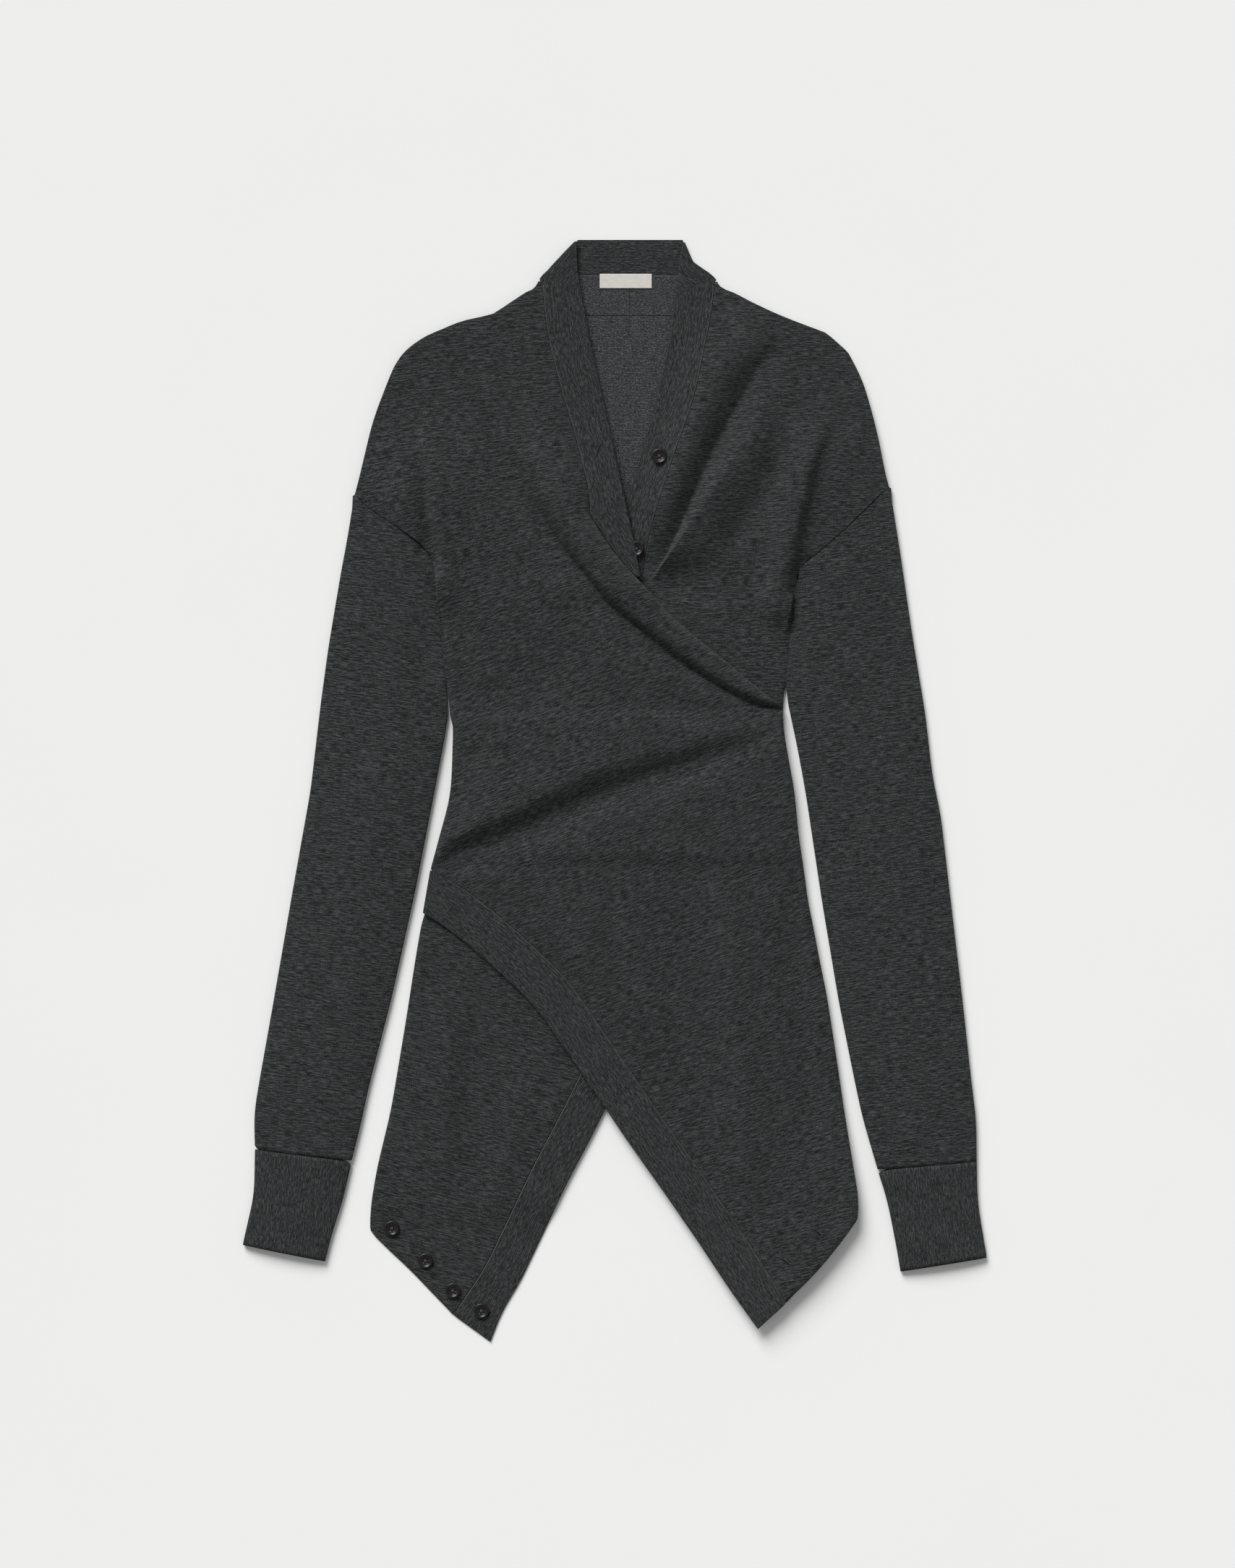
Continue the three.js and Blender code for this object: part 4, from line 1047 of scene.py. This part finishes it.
def lathed(profile, sides=56):
    """Points and faces of a turned shape whose profile starts and ends on its axis."""
    points = [(0, 0, profile[0][1])]
    faces = []
    for radius, z in profile[1:-1]:
        for i in range(sides):
            angle = 2 * math.pi * i / sides
            points.append((radius * math.cos(angle), radius * math.sin(angle), z))
    points.append((0, 0, profile[-1][1]))
    rings = len(profile) - 2
    for i in range(sides):
        j = (i + 1) % sides
        faces.append((0, 1 + j, 1 + i))
        for ring in range(rings - 1):
            low, high = 1 + ring * sides, 1 + (ring + 1) * sides
            faces.append((low + i, low + j, high + j, high + i))
        last = 1 + (rings - 1) * sides
        faces.append((len(points) - 1, last + i, last + j))
    return points, faces


def drilled(thing, drills):
    """Cuts the drills out of a piece and keeps the cut mesh."""
    for drill in drills:
        cut = thing.modifiers.new("hole", "BOOLEAN")
        cut.operation = "DIFFERENCE"
        cut.solver = "EXACT"
        cut.object = drill
    evaluated = thing.evaluated_get(bpy.context.evaluated_depsgraph_get())
    mesh = bpy.data.meshes.new_from_object(evaluated)
    thing.modifiers.clear()
    thing.data = mesh
    for drill in drills:
        bpy.data.objects.remove(drill)


def drill_at(x, y, z):
    points, faces = lathed(((0, -1), (HOLE_RADIUS, -1), (HOLE_RADIUS, 4), (0, 4)), 20)
    points = np.array(points) + (x, y, z)
    material = bpy.data.materials["button_horn"]
    return new_object("drill", points, faces, np.zeros((len(points), 2)), material)


class CARDIGAN_OT_buttons(bpy.types.Operator):
    """Horn buttons with raised rims, sewn on with thread"""
    bl_idname = "cardigan.buttons"
    bl_label = "Buttons"

    def execute(self, context):
        horn = finish_named("button_horn", horn_material, context.scene.cardigan_yarn.horn)
        twist = finish_named("button_thread", thread_material, context.scene.cardigan_yarn.thread)
        random = np.random.default_rng(5)
        for node in sorted(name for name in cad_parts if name.startswith("button")):
            low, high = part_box(node)
            x, y = (low[0] + high[0]) / 2 / MM, (low[1] + high[1]) / 2 / MM
            reach = np.array([-3.0, 0.0, 3.0])
            grid_x, grid_y = np.meshgrid(x + reach, y + reach)
            z = float(underlap_underside(grid_x, grid_y).max()) + WALL + 0.2
            turn = random.uniform(0, math.pi / 2)
            points, faces = lathed(BUTTON_PROFILE)
            points = np.array(points) + (x, y, z)
            button = new_object(f"{node}_horn", points, faces, points[:, :2], horn)
            offsets = [(HOLE_OFFSET * math.cos(turn + i * math.pi / 2), HOLE_OFFSET * math.sin(turn + i * math.pi / 2))
                       for i in range(4)]
            offsets = [(a * 1.3, b * 1.3) for a, b in offsets]
            drilled(button, [drill_at(x + a, y + b, z) for a, b in offsets])
            settle_piece(button, node)
            for i in range(2):
                (ax, ay), (bx, by) = offsets[i], offsets[i + 2]
                reached = np.linspace(0, 1, 9)
                rise = 1.62 + 0.12 * i + 0.28 * np.sin(math.pi * reached)
                rise[0] = rise[-1] = 0.4
                path = np.stack([x + ax + (bx - ax) * reached, y + ay + (by - ay) * reached, z + rise], axis=1)
                strand = cord_along(f"{node}_thread_{i + 1}", path, 0.3, twist)
                settle_piece(strand, None)
        return {"FINISHED"}


BUTTONHOLES = (
    {"name": "neck_1", "x": -12.5, "y": 268.5, "length": 12.5, "angle": 68, "on": "neck_band_left"},
    {"name": "tail_1", "x": 159, "y": -346.5, "length": 11, "angle": -38, "on": "overlap_front"},
    {"name": "tail_2", "x": 134, "y": -369.5, "length": 11, "angle": -38, "on": "overlap_front"},
)


class CARDIGAN_OT_buttonholes(bpy.types.Operator):
    """Buttonholes, each an opening between two rows of close stitches, filled by a near-black sheet of painted shade
    """
    bl_idname = "cardigan.buttonholes"
    bl_label = "Buttonholes"

    def execute(self, context):
        twist = finish_named("seam_thread", thread_material, (0.035, 0.036, 0.039))
        # The near-black finish is painted shade, standing in for the dark of the open buttonhole.
        shade = finish_named("buttonhole_slit", thread_material, (0.002, 0.002, 0.002))
        for hole in BUTTONHOLES:
            x, y = buttonhole_ring(hole, 0.0, 0.75)
            z = overlap_underside(x, y) + WALL + 0.1
            stitches = cord_along(f"buttonhole_{hole['name']}", np.stack([x, y, z], axis=1), 0.38, twist)
            settle_piece(stitches, None)
            # Near-black oval sheet just above the cloth inside the stitches: painted shade of the opening.
            x, y = buttonhole_ring(hole, 0.5, 0.4)
            z = overlap_underside(x, y) + WALL + 0.12
            ring = np.stack([x, y, z], axis=1)
            points = np.concatenate([ring, ring - (0, 0, 0.1)])
            count = len(ring)
            faces = [list(range(count)), list(range(2 * count - 1, count - 1, -1))]
            faces += [[i + count, (i + 1) % count + count, (i + 1) % count, i] for i in range(count)]
            painted_shade_sheet = new_object(f"buttonhole_{hole['name']}_slit", points, faces, points[:, :2], shade)
            settle_piece(painted_shade_sheet, None)
        return {"FINISHED"}


def buttonhole_ring(hole, shorter, half_width, sides=40):
    """Plan points of a narrow oval along a buttonhole."""
    angle = math.radians(hole["angle"])
    turn = np.linspace(0, 2 * math.pi, sides, endpoint=False)
    along = (hole["length"] / 2 - shorter) * np.cos(turn)
    across = half_width * np.sin(turn)
    x = hole["x"] + along * math.cos(angle) - across * math.sin(angle)
    y = hole["y"] + along * math.sin(angle) + across * math.cos(angle)
    return x, y


# Seams that show as a thin line of pale loops: the piece and edge that they follow and their reach
SEAMS = (
    {"name": "underlap_hem", "node": "underlap_hem_band", "side": "left", "top": -216, "bottom": -409,
     "inside": 0.75, "radius": 0.42, "on_top": False},
    {"name": "overlap_hem", "node": "overlap_hem_band", "side": "right", "top": -70, "bottom": -398,
     "inside": 0.75, "radius": 0.2, "on_top": True},
    {"name": "neck_left", "node": "neck_band_left", "side": "left", "top": 398, "bottom": 222,
     "inside": 0.75, "radius": 0.22, "on_top": True},
    {"name": "neck_right", "node": "neck_band_right", "side": "right", "top": 398, "bottom": 186,
     "inside": 0.75, "radius": 0.22, "on_top": False},
)


class CARDIGAN_OT_seams(bpy.types.Operator):
    """Linking threads that show along the band seams"""
    bl_idname = "cardigan.seams"
    bl_label = "Seam threads"

    def execute(self, context):
        twist = finish_named("linking_thread", thread_material, (0.09, 0.091, 0.092))
        for seam in SEAMS:
            y = np.arange(seam["top"], seam["bottom"], -1.6)
            inwards = 1 if seam["side"] == "left" else -1
            x = edge_at(seam["node"], seam["side"], y) + inwards * seam["inside"]
            underside = overlap_underside if seam["on_top"] else underlap_underside
            z = underside(x, y) + WALL - 0.12 + 0.1 * np.sin(np.arange(len(y)) * math.pi / 2)
            path = np.stack([x, y, z], axis=1)
            thread = cord_along(f"{seam['name']}_seam_thread", path, seam["radius"], twist, 6)
            settle_piece(thread, None)
        return {"FINISHED"}


class CARDIGAN_OT_stage(bpy.types.Operator):
    """Pale table, soft light from the upper left and a camera straight above"""
    bl_idname = "cardigan.stage"
    bl_label = "Stage"

    def execute(self, context):
        stage = context.scene.cardigan_stage
        half = stage.floor_width / 2
        paper, surface = shader("table_paper", (0.86, 0.86, 0.855), 0.9, 0.1)
        fibre = add_node(paper.node_tree, "ShaderNodeTexNoise", {"Scale": 40.0, "Detail": 3.0})
        tint = add_node(paper.node_tree, "ShaderNodeValToRGB", {"Fac": fibre.outputs["Fac"]})
        tint.color_ramp.elements[0].color = (0.855, 0.855, 0.85, 1)
        tint.color_ramp.elements[1].color = (0.87, 0.87, 0.865, 1)
        paper.node_tree.links.new(tint.outputs["Color"], surface.inputs["Base Color"])
        mesh = bpy.data.meshes.new("table")
        mesh.from_pydata([(-half, -half, 0), (half, -half, 0), (half, half, 0), (-half, half, 0)], [], [(0, 1, 2, 3)])
        mesh.materials.append(paper)
        table = bpy.data.objects.new("table", mesh)
        context.collection.objects.link(table)
        key = bpy.data.lights.new("key", "SUN")
        key.angle = math.radians(34)
        key.energy = stage.key_strength
        lamp = bpy.data.objects.new("key", key)
        lamp.location = (-0.40 * math.cos(stage.key_height), 0.92 * math.cos(stage.key_height),
                         math.sin(stage.key_height))
        lamp.rotation_mode = "QUATERNION"
        lamp.rotation_quaternion = (-lamp.location).to_track_quat("-Z", "Y")
        context.collection.objects.link(lamp)
        world = bpy.data.worlds.new("soft_room")
        world.use_nodes = True
        world.node_tree.nodes["Background"].inputs["Color"].default_value = (1, 1, 1, 1)
        world.node_tree.nodes["Background"].inputs["Strength"].default_value = stage.fill
        context.scene.world = world
        context.scene.view_settings.view_transform = "Standard"
        add_camera(context, stage.camera_height)
        return {"FINISHED"}


# The field of view covers this height of table, centred a little off the garment's middle.
VIEW_HEIGHT = 1.2363
VIEW_CENTRE = (0.0022, 0.0054)


def add_camera(context, height):
    data = bpy.data.cameras.new("camera")
    data.sensor_width = 36
    data.lens = 36 * height / VIEW_HEIGHT
    camera = bpy.data.objects.new("camera", data)
    camera.location = (*VIEW_CENTRE, height)
    context.collection.objects.link(camera)
    context.scene.camera = camera


# ---------------------------------------------------------------- add-on

class CARDIGAN_PT_panel(bpy.types.Panel):
    """Lists the cardigan's settings and the steps that build it"""
    bl_idname = "CARDIGAN_PT_panel"
    bl_label = "Wrap cardigan"
    bl_space_type = "VIEW_3D"
    bl_region_type = "UI"
    bl_category = "Cardigan"

    def draw(self, context):
        for group in ("cardigan_sizes", "cardigan_yarn", "cardigan_stage"):
            settings = getattr(context.scene, group)
            box = self.layout.box()
            for name in settings.__annotations__:
                box.prop(settings, name)
        for step in STEPS:
            self.layout.operator(step.bl_idname)


STEPS = (
    CARDIGAN_OT_back,
    CARDIGAN_OT_label,
    CARDIGAN_OT_underlap,
    CARDIGAN_OT_overlap,
    CARDIGAN_OT_sleeves,
    CARDIGAN_OT_buttons,
    CARDIGAN_OT_buttonholes,
    CARDIGAN_OT_seams,
    CARDIGAN_OT_stage,
)
GROUPS = {"cardigan_yarn": CardiganYarn, "cardigan_sizes": CardiganSizes, "cardigan_stage": CardiganStage}


def register():
    for item in (*GROUPS.values(), *STEPS, CARDIGAN_PT_panel):
        bpy.utils.register_class(item)
    for name, group in GROUPS.items():
        setattr(bpy.types.Scene, name, bpy.props.PointerProperty(type=group))


def unregister():
    for name in GROUPS:
        delattr(bpy.types.Scene, name)
    for item in reversed((*GROUPS.values(), *STEPS, CARDIGAN_PT_panel)):
        bpy.utils.unregister_class(item)


def main():
    register()
    bpy.ops.cardigan.back()
    bpy.ops.cardigan.label()
    bpy.ops.cardigan.underlap()
    bpy.ops.cardigan.overlap()
    bpy.ops.cardigan.sleeves()
    bpy.ops.cardigan.buttons()
    bpy.ops.cardigan.buttonholes()
    bpy.ops.cardigan.seams()
    bpy.ops.cardigan.stage()


if __name__ == "__main__":
    main()
